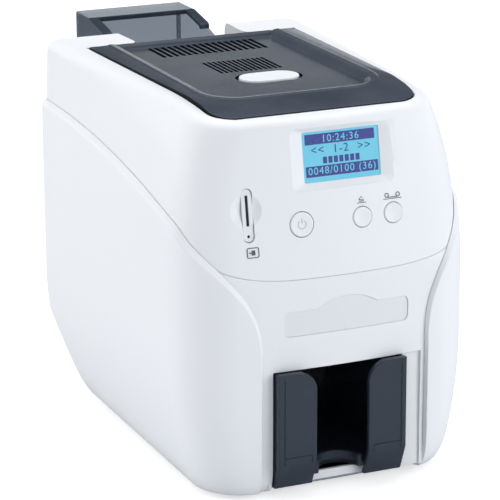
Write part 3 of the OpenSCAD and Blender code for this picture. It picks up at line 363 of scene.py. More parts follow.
# %% Camera
camera = shown("camera", bpy.data.cameras.new("camera"))
camera.data.sensor_width = 36.0
camera.data.lens = 180.0
camera.data.clip_end = 50
yaw, pitch, roll = (math.radians(a) for a in (23.77, 16.99, -0.21))
gaze = Euler((math.pi / 2 - pitch, 0, -yaw)).to_matrix() @ Matrix.Rotation(roll, 3, "Z")
camera.matrix_world = Matrix.Translation((-0.5557, -1.2951, 0.5249)) @ gaze.to_4x4()
bpy.context.scene.camera = camera
bpy.context.scene.view_settings.view_transform = "Standard"
print("lens", camera.data.lens, "mm, pitch", round(math.degrees(pitch), 2), "degrees")

# %% Lamps
def softbox(name, place, target, size, watts, colour="#ffffff"):
    """A square lamp at place that faces target, all in metres."""
    lamp = bpy.data.lights.new(name, "AREA")
    lamp.size, lamp.energy, lamp.color = size, watts, linear(colour)[:3]
    obj = shown(name, lamp)
    obj.visible_glossy = False
    aim = Vector(target) - Vector(place)
    obj.matrix_world = Matrix.Translation(place) @ aim.to_track_quat("-Z", "Y").to_matrix().to_4x4()


middle = (0, 0, 0.1)
softbox("softbox_left", (-1.5, 0.3, 0.7), middle, 1.1, 10)
softbox("softbox_right", (1.15, -1.35, 0.6), middle, 1.0, 13, "#fafcff")
softbox("softbox_top", (0.1, 0.3, 1.6), middle, 1.2, 13.5)
print("lamps", len(bpy.data.lights))

# %% Sky

def rays(tree):
    """Light Path's outputs, and 1 where a ray is the camera's own, also behind clear plastic."""
    ray = add(tree, "LightPath").outputs
    straight = add(tree, "Math", {0: ray["Is Camera Ray"], 1: ray["Is Transmission Ray"]},
                   operation="MAXIMUM")
    return ray, straight.outputs[0]


world = bpy.data.worlds.new("studio_sky")
bpy.context.scene.world = world
world.use_nodes = True
tree = world.node_tree
tree.nodes.clear()
ray, straight = rays(tree)
sky = add(tree, "Background", {"Color": linear("#f1f3f6"), "Strength": 0.56})
white = add(tree, "Background", {"Color": (1, 1, 1, 1), "Strength": 1.0})
# The tent fades between two heights of a direction: start, end, brightness at each
toward = add(tree, "SeparateXYZ", {0: add(tree, "TexCoord").outputs["Generated"]}).outputs["Z"]
LOW_BAND, OVERHEAD = (0.14, 0.245, 1.15, 0.17), (0.6, 0.85, 0.0, 0.75)
bands = [add(tree, "MapRange", enumerate((toward, *band)), interpolation_type="SMOOTHSTEP")
         for band in (LOW_BAND, OVERHEAD)]
glow = add(tree, "Math", {i: band.outputs[0] for i, band in enumerate(bands)}, operation="ADD")
tent = add(tree, "Background", {"Color": linear("#f2f5f9"), "Strength": glow.outputs[0]})
lit = add(tree, "MixShader", {0: ray["Is Glossy Ray"], 1: sky.outputs[0], 2: tent.outputs[0]})
mix = add(tree, "MixShader", {0: straight, 1: lit.outputs[0], 2: white.outputs[0]})
add(tree, "OutputWorld", {"Surface": mix.outputs[0]})
print("sky nodes", len(tree.nodes))

# %% Floor
FLOOR_TOP, FLOOR_BASE = -0.4, -20.0   # the printer's feet stand just above the paper
reach = np.array([[-4000, -3000], [4000, -3000], [4000, 6000], [-4000, 6000]], float)
floor = skinned("floor", np.stack([np.c_[reach, np.full(4, z)] for z in (FLOOR_TOP, FLOOR_BASE)]))
paper, tree, shader, where = finish("paper_sweep_matt", "#dadcde", Roughness=0.9,
                                    Specular_IOR_Level=0.1)
bent, _ = grain(tree, where, 1.5, 0.02)
tree.links.new(bent, shader.inputs["Normal"])
# Seen straight, the paper glows a little, so that it ends in white and keeps its shadow
lift = add(tree, "Math", {0: rays(tree)[1], 1: 0.62}, operation="MULTIPLY")
glow = add(tree, "Emission", {"Strength": lift.outputs[0]})
both = add(tree, "AddShader", {0: shader.outputs[0], 1: glow.outputs[0]})
tree.links.new(both.outputs[0], tree.nodes["Material Output"].inputs["Surface"])
floor.data.materials.append(paper)
print("floor spans", [round(v) for v in np.ptp(reach, axis=0)], "mm")

# %% [markdown]
# ## The outline of the casing
# Seen from above, the body is a rounded rectangle whose front bulges a little.
# Its width changes with height: it tucks in towards the foot and leans in at
# the shoulders. A single function of two parameters, s along the outline and z
# up, describes the whole skin, and every moulding is cut from it.

# %% Plan and skin of the casing
def above(z, start, end):
    """Zero below start, then the square of the share of the way to end."""
    return (np.maximum(0, (z - start) / (end - start))) ** 2


def half_width(z, lean):
    """Half width at height z: full at the waist, less TUCK_IN towards the foot,
    less lean at the top, both as squares of the height share."""
    return WIDTH / 2 - STEP - TUCK_IN * above(-z, -TUCK, 0) - lean * above(z, SHOULDER, HEIGHT)


def front_y(z):
    """Upright up to the seam, then leaning back."""
    return FRONT + np.maximum(0, z - SEAM) * math.tan(LEAN)


def foot_inset(z):
    """Quarter of an ellipse round the foot, FOOT_IN deep over FOOT_UP of height."""
    share = np.clip((FOOT + FOOT_UP - z) / FOOT_UP, 0, 1)
    return FOOT_IN * (1 - np.sqrt(1 - share ** 2))


def front_end(z):
    """x of the corner's centre and, a little further out, of the end of the parabola."""
    flat = half_width(z, FRONT_IN) - CORNER
    return flat, flat + CORNER * 2 * BOW / flat


def plan(s, z, grow=0.0):
    """Point of the outline at height z, moved out by grow. |s| 0-1 is the bulged
    front (a parabola), 1-2 the front corner (an arc), 2-3 the side (the common
    tangent of two arcs), 3-4 the rear corner, 4-5 the rear wall to the notch
    and 5-6 on to the middle. A negative s is the mirror image."""
    s, z = np.broadcast_arrays(np.asarray(s, float), np.asarray(z, float))
    t, side = np.abs(s), np.where(s < 0, -1.0, 1.0)
    g = grow - foot_inset(z)
    flat, end = front_end(z)
    slope = np.arctan(2 * BOW * end / flat ** 2)
    cy = front_y(z) + BOW * (end / flat) ** 2 + CORNER * np.cos(slope)
    rx, ry = half_width(z, REAR_IN) - REAR_CORNER, DEPTH - REAR_CORNER
    big, small = CORNER + g, np.maximum(1, REAR_CORNER + g)
    length = np.hypot(rx - flat, ry - cy)
    normal = np.arctan2(ry - cy, rx - flat) - np.arccos((big - small) / length)
    x = np.clip(t, 0, 1) * end
    k = 2 * BOW * x / flat ** 2
    front = x + g * k / np.hypot(1, k), front_y(z) + BOW * (x / flat) ** 2 - g / np.hypot(1, k)
    a = slope - math.pi / 2 + (t - 1) * (normal - slope + math.pi / 2)
    corner = flat + big * np.cos(a), cy + big * np.sin(a)
    ends = [(flat + big * np.cos(normal), cy + big * np.sin(normal)),
            (rx + small * np.cos(normal), ry + small * np.sin(normal))]
    line = tuple(p + (q - p) * (t - 2) for p, q in zip(*ends))
    a = normal + (t - 3) * (math.pi / 2 - normal)
    rear = rx + small * np.cos(a), ry + small * np.sin(a)
    back = np.where(t < 5, rx + (NOTCH - rx) * (t - 4), NOTCH * (6 - t)), ry + small
    pieces = [front, corner, line, rear, back]
    which = [t < 1, t < 2, t < 3, t < 4, t < 7]
    x, y = (np.select(which, [np.broadcast_to(p[i], t.shape) for p in pieces]) for i in (0, 1))
    return x * side, y


def skin(s, z, grow=0.0):
    """Point of the body's skin, behind which the sloped lower rear cuts it off:
    the depth is the smooth minimum of the outline's and the slope's."""
    x, y = plan(s, z, grow)
    limit = z + DEPTH - SLOPE - FOOT + grow * math.sqrt(2)
    spread_out = np.sqrt((y - limit) ** 2 + 2.0)
    y = np.where(np.abs(s) > 2, (y + limit - spread_out) / 2, y)
    return np.stack([x, y - LIP, np.broadcast_to(z, x.shape)], -1)


# Running length along the outline, in mm, so that grids can have even quads.
# On the front it is the true x at every height, so upright edges stay upright.
S_TABLE, WAIST = np.linspace(0, 6, 6001), 100.0


def run(points):
    """Length run along a polyline at each of its points."""
    return np.r_[0, np.cumsum(np.hypot(*np.diff(points, axis=0).T))]


U_TABLE = run(np.stack(plan(S_TABLE, WAIST, STEP), -1))
U_CORNER, U_REAR = np.interp([1, 4], S_TABLE, U_TABLE)


def u_of(s, z):
    """Length at s: x on the front, then the table's lengths stretched to end together."""
    end = front_end(z)[1]
    beyond = (np.interp(s, S_TABLE, U_TABLE) - U_CORNER) / (U_REAR - U_CORNER)
    return np.where(s < 1, s * end, end + beyond * (U_REAR - end))


def s_of(u, z):
    """The inverse of u_of at the same height."""
    end = front_end(z)[1]
    beyond = U_CORNER + (u - end) / (U_REAR - end) * (U_REAR - U_CORNER)
    return np.where(u < end, u / end, np.interp(beyond, U_TABLE, S_TABLE))


def s_where(axis, value, z, low=0.0, high=6.0):
    """The s at which the outline's x (axis 0) or y (axis 1) is closest to value."""
    s = np.linspace(low, high, 4001)
    distance = np.abs(plan(s[None], np.atleast_1d(z)[:, None], STEP)[axis]
                      - np.atleast_1d(value)[:, None])
    return s[distance.argmin(1)]


print("half outline", round(U_TABLE[-1]), "mm")

# %% [markdown]
# ## The side panels
# Each side is a separate moulding that stands proud of the casing and ends in
# a long S-curve: upright beside the front cover, then sweeping round the corner
# and up to the rear. The curve can't be the top row of a simple grid, because
# it starts upright. A Coons patch fills a region from its four border curves,
# so the grid follows the curve all along. Rows added outside the free border
# step down to the casing: a wide soft chamfer, which catches the light.

# %% Border curve of a side panel
RIM_Z, RIM_FALL = 175.5, 31.0


def bezier(a, b, c, d, t):
    """Cubic curve through a and d, pulled by b and c."""
    return (1 - t) ** 3 * a + 3 * (1 - t) ** 2 * t * b + 3 * (1 - t) * t ** 2 * c + t ** 3 * d


def rim_height(y):
    """Long sweep of the rim: RIM_Z at the rear, falling with the square of the distance."""
    return RIM_Z - RIM_FALL * ((DEPTH - y) / DEPTH) ** 2


def sample(curve, share):
    """Points of a polyline at the given shares of its length."""
    length = run(curve)
    return np.stack([np.interp(share * length[-1], length, curve[:, i]) for i in (0, 1)], -1)


def rim(edge):
    """The S-curve as (length along the outline, height): a Bezier curve whose
    foot is the front edge at x = edge, then the sweep along the side."""
    t = np.linspace(0, 0.985, 70)
    x, z = bezier(edge, edge, WIDTH / 2 - 4, WIDTH / 2 - 1.5, t), bezier(82, 122, 132, 152, t)
    y = np.linspace(34, 236, 110)
    z, s = np.r_[z, rim_height(y)], np.r_[s_where(0, x, z, 0, 1.85),
                                          s_where(1, y, rim_height(y), 1.5, 4)]
    curve = sample(np.stack([u_of(s, z), z], -1), np.linspace(0, 1, 400))
    # A running mean of 15 points takes the corner out of the join
    soft = np.ones(15) / 15
    padded = np.pad(curve, ((7, 7), (0, 0)), "reflect", reflect_type="odd")
    return np.stack([np.convolve(padded[:, i], soft, "valid") for i in (0, 1)], -1)


def coons(bottom, top, left, right):
    """Fills four border curves: the two ruled surfaces between opposite borders,
    added, less the flat patch through the corners."""
    u = np.linspace(0, 1, len(bottom))[None, :, None]
    v = np.linspace(0, 1, len(left))[:, None, None]
    ruled = (1 - v) * bottom[None] + v * top[None] + (1 - u) * left[:, None] + u * right[:, None]
    return ruled - ((1 - u) * (1 - v) * bottom[0] + u * (1 - v) * bottom[-1]
                    + (1 - u) * v * top[0] + u * v * top[-1])


def outward(curve):
    """Unit normals on the left of a polyline in (length, height), away from the panel."""
    t = np.gradient(curve, axis=0)
    return np.stack([-t[:, 1], t[:, 0]], -1) / np.linalg.norm(t, axis=1, keepdims=True)


def thick(name, outer, inner, quads):
    """Closed solid from two sheets with the same quads, joined along every open border."""
    count = len(outer)
    edges = np.concatenate([quads[:, [k, (k + 1) % 4]] for k in range(4)])
    twin = {tuple(e) for e in edges.tolist()}
    border = np.array([e for e in edges.tolist() if (e[1], e[0]) not in twin])
    sides = np.stack([border[:, 1], border[:, 0], border[:, 0] + count, border[:, 1] + count], -1)
    return form(name, np.concatenate([outer, inner]),
                np.concatenate([quads, quads[:, ::-1] + count, sides]).tolist())


# The chamfer: shares of its breadth, and the height above the casing at each
CHAMFER = (0.08, STEP - 0.06), (0.22, STEP - 0.3), (0.9, 0.75), (1.0, 0.4)


def chamfer_breadth(z, broad):
    """Breadth of the chamfer: 1.5 mm low down, growing to 4 mm between z = 80 and 145."""
    return broad * (1.5 + 1.9 * np.clip((z - 80) / 50, 0, 1.3))[:, None]


def side_panel(name, edge, side, broad, node):
    """Coons patch in (length, height) laid on the skin, STEP proud of the casing.
    Round its free border runs a bright chamfer, down to just above the casing."""
    curve = rim(edge)
    curve -= outward(curve) * chamfer_breadth(curve[:, 1], broad) / 2
    bend = np.argmax(curve[:, 1] > 126)
    across, up = np.linspace(0, 1, 96), np.linspace(0, 1, 60) ** 1.25
    # At the rear the panel stops where the slope cuts it off
    u_foot = u_of(s_where(1, DEPTH - SLOPE, FOOT, 2, 3), FOOT)[0]
    knee = np.array([curve[-1, 0], SLOPE - FOOT])
    foot = np.array([[curve[0, 0], FOOT], [u_foot, FOOT]])
    left = sample(np.vstack([foot[0], curve[:bend + 1]]), up)
    right = sample(np.array([foot[1], knee, curve[-1]]), up)
    grid = coons(sample(foot, across), sample(curve[bend:], across), left, right)
    rows, columns = grid.shape[:2]
    index = np.arange(rows * columns).reshape(rows, columns)

    # Copies of the border, each further out and closer to the casing
    border = np.r_[index[:-1, 0], index[-1]]
    line = grid.reshape(-1, 2)[border]
    breadth = outward(line) * chamfer_breadth(line[:, 1], broad)
    flat = np.concatenate([grid.reshape(-1, 2)] + [line + breadth * k for k, _ in CHAMFER])
    grow = np.r_[np.full(rows * columns, STEP), np.repeat([high for _, high in CHAMFER], len(line))]
    strips = np.arange(rows * columns, len(flat)).reshape(len(CHAMFER), -1)
    ladder = np.concatenate([border[None], strips])
    quads = [np.stack([a[:-1, :-1], a[:-1, 1:], a[1:, 1:], a[1:, :-1]], -1).reshape(-1, 4)
             for a in (index, ladder)]
    s = side * s_of(flat[:, 0], flat[:, 1])
    sheet = thick(name, skin(s, flat[:, 1], grow), skin(s, flat[:, 1], 0.3),
                  np.concatenate(quads)[:, ::side])
    return dress(sheet, abs_white, "chassis", "casing", node, angle=22)


side_panel("side_panel_left", FRONT_HALF - FRONT_MID, -1, 1.0, "left_side_panel")
side_panel("side_panel_right", FRONT_HALF + FRONT_MID, 1, 0.65, "right_side_panel")

# %% [markdown]
# ## The upper casing
# One moulding carries the leaning front, both shoulders and the land round the
# lid. Its cross-section is a closed loop: up the outside, over the rounded top
# edge, across the land, down into the lid's bed, and back down the inside. The
# section is carried along the outline from one side of the rear notch, round
# the front, to the other. The display and the buttons are then cut out.

# %% Cross-sections of the upper casing
LID_HALF, LID_CORNER, LID_FRONT = 60.5, 13.0, 29.0   # at the lid's rounded front corners
OPEN_HALF, OPEN_SIDE, OPEN_REAR = 65.7, 198.0, 207.0   # at the rear end of the opening
TIP = 6.0                       # radius of the tongue beside the notch


def crown_drop(y):
    """The top is level at the rear and falls with the square of the distance, 5 mm over 60."""
    return 5 * above(-y, -85, -25)


def quarter(t, start):
    """Angle that turns from -90 degrees to 0 while t goes from start to start + 1."""
    return -math.pi / 2 + np.clip(t - start, 0, 1) * math.pi / 2


def choose(t, ends, *pieces):
    """Joins the pieces of an outline: each holds up to its own end of t."""
    return np.select([t < end for end in ends], [piece + 0 * t for piece in pieces])


def opening(s, grow):
    """Outline of the lid's opening, matched to the casing's s: front edge,
    corner arc, slightly splayed side, then the tongue with its round tip."""
    t, side = np.abs(s), np.where(s < 0, -1.0, 1.0)
    r, a = LID_CORNER + grow, quarter(t, 1)
    cx, cy, wide = LID_HALF - LID_CORNER, LID_FRONT + LID_CORNER, OPEN_HALF + grow
    tip_x, tip_r = NOTCH + TIP, TIP + grow
    bend = np.clip(t - 4.4, 0, 0.6) / 0.6 * math.pi / 2
    ends = (1, 2, 3, 4, 4.4, 7)
    x = choose(t, ends, t * cx, cx + r * np.cos(a),
               LID_HALF + grow + (t - 2) * (OPEN_HALF - LID_HALF), wide,
               wide + (t - 4) / 0.4 * (tip_x - wide), tip_x - tip_r * np.sin(bend))
    y = choose(t, ends, LID_FRONT - grow, cy + r * np.sin(a), cy + (t - 2) * (OPEN_SIDE - cy),
               OPEN_SIDE + (t - 3) * (OPEN_REAR - OPEN_SIDE) + grow, OPEN_REAR,
               OPEN_REAR + TIP - tip_r * np.cos(bend))
    return x * side, y


def seam_height(s):
    """The seam is nearly level in front and rises with the fourth power of the distance."""
    return SEAM + 8 * ((plan(s, SEAM)[0] - FRONT_MID) / 70) ** 4


def casing_low(s):
    """Lower edge: the curved seam in front, and behind the panels 6 mm below their rim."""
    u = u_of(np.abs(s), SEAM)
    left, right = (np.interp(u, *rim(FRONT_HALF + side * FRONT_MID).T, left=0) - 6
                   for side in (-1, 1))
    return np.maximum(np.where(np.abs(s) < 2.2, seam_height(s), 0), np.where(s < 0, left, right))


def runs(*counts):
    """A run from 0 to 1, 1 to 2 and so on for each count, without double points."""
    return np.r_[0, np.concatenate([i + np.linspace(0, 1, n)[1:] for i, n in enumerate(counts)])]


half = runs(25, 21, 51, 9, 25)
half[-1] -= 1e-9                # the last point stays short of the notch
s = np.r_[-half[:0:-1], half]
low = casing_low(s)
drop = crown_drop(plan(s, 209.0, -EDGE)[1])
shoulder = HEIGHT - EDGE - drop
print("points round the casing", len(s))


def level(x, y, z):
    """Stacks three arrays into points in the printer's frame."""
    x, y, z = np.broadcast_arrays(x, y, z)
    return np.stack([x, y - LIP, z], -1)


def wall_rows(shares):
    """Rows of the wall between the lower edge and the start of the top edge."""
    z = low[None] + shares[:, None] * (shoulder - low)[None]
    return level(*plan(s[None], z), z)


def top_row(x, y, depth):
    """A row at the given depth below the crowned top."""
    return level(x, y, HEIGHT - crown_drop(y) - depth)


# %% Rows of the section, from the lower edge over the top and back down inside
around = np.radians(np.arange(15, 91, 15))[:, None]
z = shoulder[None] + EDGE * np.sin(around)
edge_rows = level(*plan(s[None], z, -EDGE * (1 - np.cos(around))), z)
FIT, LIP_R = 0.5, 0.8           # gap round the lid, and the rounding of the opening
outer, inner = plan(s, shoulder + EDGE, -EDGE), opening(s, FIT + LIP_R)
land_rows = [top_row(*(p + (q - p) * k / 6 for p, q in zip(outer, inner)), 0)
             for k in range(1, 7)]
lip_rows = [top_row(*opening(s, FIT + LIP_R * (1 - math.sin(a))), LIP_R * (1 - math.cos(a)))
            for a in np.radians((30, 60, 90))]
# The lid's bed: a shelf 5 mm wide and 3 mm down, which drops away beside the hinge
rear = np.clip((np.abs(s) - 2.9) / 0.08, 0, 1)
bed = 3 + 4 * rear
shelf = FIT - 5 * (1 - rear) * np.clip(5 - np.abs(s), 0, 1)
bed_rows = [top_row(*opening(s, FIT), bed), top_row(*opening(s, shelf), bed),
            top_row(*opening(s, shelf), 7.5)]
under = np.maximum(shoulder - 3, low + 2)
inner_z = [under * k + low * (1 - k) for k in np.linspace(1, 0, 8)]
inner_wall = [level(*plan(s, z, -WALL), z) for z in inner_z]
section = np.concatenate([wall_rows(np.linspace(0, 1, 30)), edge_rows,
                          land_rows + lip_rows + bed_rows + inner_wall])
casing = skinned("upper_casing_shell", section.transpose(1, 0, 2))
print("sections", len(s), "points each", len(section))

# %% [markdown]
# Everything on the leaning front is placed in the front's own frame: sideways,
# outwards and up along the slope. One function carries such points to the
# printer's frame.

# %% Placing things on the leaning front
def on_front(x, z, points, turn=0.0):
    """Turns points (right, inwards, up) by turn about the upright and by the lean,
    and sets them at (x, z) on the face."""
    right, inward, up = np.moveaxis(np.asarray(points, float), -1, 0)
    right, inward = (right * math.cos(turn) - inward * math.sin(turn),
                     right * math.sin(turn) + inward * math.cos(turn))
    y0 = front_y(z) + BOW * (x / (WIDTH / 2 - CORNER)) ** 2
    return level(x + right, y0 + inward * math.cos(LEAN) + up * math.sin(LEAN),
                 z - inward * math.sin(LEAN) + up * math.cos(LEAN))


def round_rect(width, height, r, steps=8):
    """Rectangle with round corners: a small circle pushed into the four quarters."""
    a = (np.arange(4 * steps) + 0.5) * math.pi / (2 * steps)
    return np.stack([np.sign(np.cos(a)) * (width / 2 - r) + r * np.cos(a),
                     np.sign(np.sin(a)) * (height / 2 - r) + r * np.sin(a)], -1)


def circle(r, steps=64):
    """Points round a circle of radius r."""
    a = np.arange(steps) * 2 * math.pi / steps
    return np.stack([r * np.cos(a), r * np.sin(a)], -1)


def on_face(name, place, layers, turn=0.0):
    """A solid at place (x, z) of the face, skinned over layers of (outline, depth)."""
    return skinned(name, np.stack([on_front(*place, np.c_[o[:, 0], np.full(len(o), d), o[:, 1]],
                                            turn) for o, d in layers]))


def prism(name, place, outline, depths, turn=0.0):
    """An outline carried straight inwards between two depths."""
    return on_face(name, place, [(outline, d) for d in depths], turn)


# %% Display window and button holes
DISPLAY, DISPLAY_W, DISPLAY_H, SINK = (7.5, 185.5), 45.2, 27.0, 3.0
BUTTON_Z, BUTTON_FIT = 151.5, 0.35
BUTTONS = {"power": (-19.5, 13.3), "eject": (16.1, 11.0), "ribbon": (34.9, 11.0)}
window = round_rect(DISPLAY_W, DISPLAY_H, 1.0)
surround = round_rect(DISPLAY_W + 16, DISPLAY_H + 6, 3.0) - [0, 0.5]
backing = prism("cut", DISPLAY, surround * 1.06, (1.4, SINK + 1.8))
casing = carved(casing, [backing], "UNION")
cutters = [on_face("cut", DISPLAY, [(surround, -6), (surround, 0.7), (window, SINK), (window, 14)])]
cutters += [prism("cut", (x, BUTTON_Z), circle(d / 2 + BUTTON_FIT), (-8, 12))
            for x, d in BUTTONS.values()]
print("cutters for the face", len(cutters))

# %% Chip card's pocket: an upright stadium, and the cap of a ball for a fingertip
CHIP, CHIP_TURN = (-49.5, 159.0), math.radians(-9)   # turned square to the bulge
DIMPLE, DIMPLE_R, DIMPLE_DEEP = (-49.5, 161.5), 9.3, 3.0
ball = (DIMPLE_R ** 2 + DIMPLE_DEEP ** 2) / (2 * DIMPLE_DEEP)
dimple = [(circle(r), DIMPLE_DEEP - ball + math.sqrt(ball ** 2 - r ** 2))
          for r in DIMPLE_R * np.r_[1.0, np.linspace(0.95, 0.05, 16)]]
# The wall is thickened behind the dimple, or the ball would cut through it
boss = [(circle(r), d) for r, d in ((10.5, 1.6), (10.5, 2.6), (7, 4.4))]
casing = carved(casing, [on_face("cut", DIMPLE, boss, CHIP_TURN)], "UNION")
cutters += [prism("cut", CHIP, round_rect(6.3, 29, 3.14, 10), (-8, 12), CHIP_TURN),
            on_face("cut", DIMPLE, [(circle(DIMPLE_R), -8)] + dimple, CHIP_TURN)]
casing = carved(casing, cutters)
dress(casing, abs_white, "chassis", "casing", "upper_casing", angle=28)

# %% [markdown]
# ## The front cover
# Below the seam a separate cover closes the front. It is a sheet between the
# outer skin and an inner one, WALL further in. Its border runs behind the side
# panels. The opening for the stacker and the shallow field with a domed top
# are cut out. Flat walls line the recess, with a ledge beside the stacker and a
# sill under it, and a tongue stands behind the seam, as on snapped mouldings.

# %% Front cover
def wall(name, s, z, grow=0.0, deep=WALL):
    """Sheet over a grid of (s, z), rows upwards: outer points up, inner points down, per column."""
    ring = np.concatenate([skin(s, z, grow), skin(s, z, grow - deep)[::-1]])
    return skinned(name, ring.transpose(1, 0, 2))


def block(x, y, z):
    """Box between two corners, given as (low, high) pairs, as a stack of two loops."""
    loop = np.array([[x[0], z[0]], [x[1], z[0]], [x[1], z[1]], [x[0], z[1]]], float)
    return skinned("block", np.stack([level(loop[:, 0], d, loop[:, 1]) for d in y]))


def cover_grid(x, low, high, rows):
    """Grid of (s, z) over the columns x, each from low to high, closer together at the foot."""
    share = np.linspace(0, 1, rows)[:, None] ** 1.3
    z = low + share * (high - low)
    x = np.broadcast_to(x, z.shape)
    return np.sign(x) * s_of(np.abs(x), z), z


def under_rim(edge, z):
    """Where the cover ends behind a side panel: 4 mm past the panel's edge."""
    curve = rim(edge)
    return np.interp(z, curve[:, 1], curve[:, 0]) + 4


def cover_s(share, z):
    """The skin's s at a share, from -1 to 1, of the way to the hidden edges."""
    end = [under_rim(FRONT_HALF + FRONT_MID * side, z) for side in (-1, 1)]
    return np.sign(share) * s_of(np.abs(share) * np.where(share < 0, *end), z)


share, GAP = np.linspace(-1, 1, 120), 0.22   # columns; joint between cover and casing
top_z = seam_height(cover_s(share, seam_height(cover_s(share, SEAM)))) - GAP
z = FOOT + np.linspace(0, 1, 80)[:, None] ** 1.3 * (top_z - FOOT)
cover = wall("front_cover_shell", cover_s(share, z), z)
print("cover", len(cover.data.polygons), "faces before the cuts")

# %% Field of the name plate: round corners and a shallow dome
PLATE_X, PLATE_Z, PLATE_HALF, PLATE_H, PLATE_R = FRONT_MID + 1, 98.0, 37.0, 7.0, 3.0
DOME_R, DOME_UP = 32.0, 5.5
field_x = np.linspace(-PLATE_HALF, PLATE_HALF, 75)
inset = np.clip(np.abs(field_x) - PLATE_HALF + PLATE_R, 0, PLATE_R)
soft = PLATE_R - np.sqrt(PLATE_R ** 2 - inset ** 2)
dome = np.sqrt(np.maximum(DOME_R ** 2 - field_x ** 2, 0)) - DOME_R + DOME_UP
foot, top = PLATE_Z - PLATE_H + soft, PLATE_Z + PLATE_H - soft + np.maximum(dome, 0)
field = wall("cut", *cover_grid(field_x + PLATE_X, foot, top, 14), 6.0, 6.8)
print("field of the name plate", 2 * PLATE_HALF, "mm wide")

# %% Recess of the stacker with its liners, ledge, sill and the tongue behind the seam
LEFT, RIGHT, RECESS_TOP, LINER = -38.0, 51.0, 72.0, 2.0
cover = carved(cover, [field, block((LEFT, RIGHT), (-20, 30), (-5, RECESS_TOP))])
liners = [block(x, (7.6, 33), (5, RECESS_TOP + LINER))
          for x in ((LEFT - LINER, LEFT - 0.2), (RIGHT + 0.2, RIGHT + LINER))]
liners.append(block((40.3, RIGHT + 0.5), (8.6, 10.6), (5.0, RECESS_TOP + 1)))
liners.append(block((-34.5, 36.5), (10.4, 12.4), (5.0, 9.8)))
row = top_z - np.array([[2.5], [-2.0]])
liners.append(wall("tongue", np.vstack([cover_s(share, z[None]) for z in row]), row, -0.5, 1.2))
cover = joined("front_cover_shell", [cover] + liners)
dress(cover, abs_white, "chassis", "casing", "front_cover", angle=28)

# %% The bare plate, with a duller grain than the cover and 0.12 mm inside its field
field_white = plain("abs_white_fine_grain", "#ebedef", 0.6, 0.012, 0.45, 0.6, shade="#e8eaec",
                    IOR=1.52)
plate = cover_grid(field_x * 0.996 + PLATE_X, foot + 0.12, top - 0.12, 14)
dress(wall("name_plate_field", *plate, -0.55, 0.5), field_white, "chassis", "casing")

# %% [markdown]
# ## The rear panel
# The rear wall and the slope under it are one sheet over the same skin, which
# already bends forward along the slope. Slots for air, the sockets and the
# notch of the hopper are cut through it.

# %% Rear panel
columns = np.r_[np.linspace(3.1, 4, 14), np.linspace(4, 6, 30)[1:]]
columns = np.r_[columns, -columns[-2::-1]]
rows = np.r_[np.linspace(3, 52, 26), np.linspace(53, 59, 7), np.linspace(60, 169, 40)]
panel = wall("rear_panel_shell", *np.meshgrid(columns, rows))
# Across and up: hopper notch, power inlet, switch, network and data sockets, air slots
holes = [((-NOTCH, NOTCH), (121.7, 190)), ((-72, -44), (67.5, 88.5)), ((-68.5, -47.5), (99, 125)),
         ((57.3, 73.3), (79.7, 94.3)), ((57.3, 71.3), (62.2, 73.8))]
holes += [((45, 73), (z, z + 2)) for z in range(110, 155, 5)]
panel = carved(panel, [block(x, (DEPTH - 12, DEPTH + 20), z) for x, z in holes])
dress(panel, abs_white, "chassis", "casing", "rear_panel", angle=28)

# %% [markdown]
# ## The display
# The display sits at the foot of its sloped surround: a lit panel behind clear
# plastic. Its picture stays generic: two dark title bars with a time and a
# count, a pair of chevrons each side of a number, and a bar that fills up. Text
# curves are turned into meshes and then placed on the face, like any marks.

# %% Display panel and its picture
lcd, tree, shader, where = finish("display_lit_panel", "#6bc8dd", Roughness=0.12, IOR=1.5,
                                  Coat_Weight=0.6, Coat_Roughness=0.03,
                                  Emission_Strength=0.16)
shader.inputs["Emission Color"].default_value = linear("#5cc0ee")
# Pixel rows and columns 0.8 mm apart, drawn coarser than real ones so that they show
axes = add(tree, "SeparateXYZ", {0: where})
cells = []
for axis in ("X", "Z"):
    count = add(tree, "Math", {0: axes.outputs[axis], 1: 1 / (0.8 * MM)}, operation="MULTIPLY")
    part = add(tree, "Math", {0: count.outputs[0]}, operation="FRACT")
    cells.append(add(tree, "Math", {0: part.outputs[0], 1: 0.16}, operation="LESS_THAN").outputs[0])
lines = add(tree, "Math", {0: cells[0], 1: cells[1]}, operation="MAXIMUM")
cloud = add(tree, "TexNoise", {"Vector": where, "Scale": 1 / (22 * MM), "Detail": 1.0})
tone = blend(tree, cloud.outputs[0], "#5cc0da", "#7accdf")
tree.links.new(blend(tree, lines.outputs[0], tone, "#5fb8cf"), shader.inputs["Base Color"])

lcd_ink = plain("display_dark_segments", "#3f4a96", 0.8, 0.003, 0.2, 0.3)
glass = prism("display_pane", DISPLAY, round_rect(DISPLAY_W + 2.6, DISPLAY_H + 1.6, 1.4),
              (SINK + 1.8, SINK + 0.5))
dress(glass, lcd, "chassis", "display", "display_glass")

# %% Marks of the picture
FACE, INK = SINK + 0.42, 0.05   # depth of the picture and thickness of its marks


def lettering(text, size, centre, depth):
    """Digits and signs from a text curve, made a mesh and set on the display's face."""
    curve = bpy.data.curves.new("signs", "FONT")
    curve.body, curve.size, curve.align_x, curve.align_y = text, size, "CENTER", "CENTER"
    curve.extrude, curve.space_character, curve.resolution_u = INK / 2, 1.15, 3
    carrier = shown("signs", curve)
    mesh = bpy.data.meshes.new_from_object(carrier.evaluated_get(
        bpy.context.evaluated_depsgraph_get()))
    bpy.data.objects.remove(carrier)
    flat = np.zeros(len(mesh.vertices) * 3)
    mesh.vertices.foreach_get("co", flat)
    x, up, out = flat.reshape(-1, 3).T
    placed = on_front(*DISPLAY, np.stack([x + centre[0], depth - out, up + centre[1]], -1))
    mesh.vertices.foreach_set("co", (placed * MM).ravel())
    return shown("signs", mesh)


def bar(x, z, width, height):
    """Flat bar on the display's face."""
    return prism("bar", DISPLAY, round_rect(width, height, 0.3, 2) + [x, z], (FACE + INK, FACE))


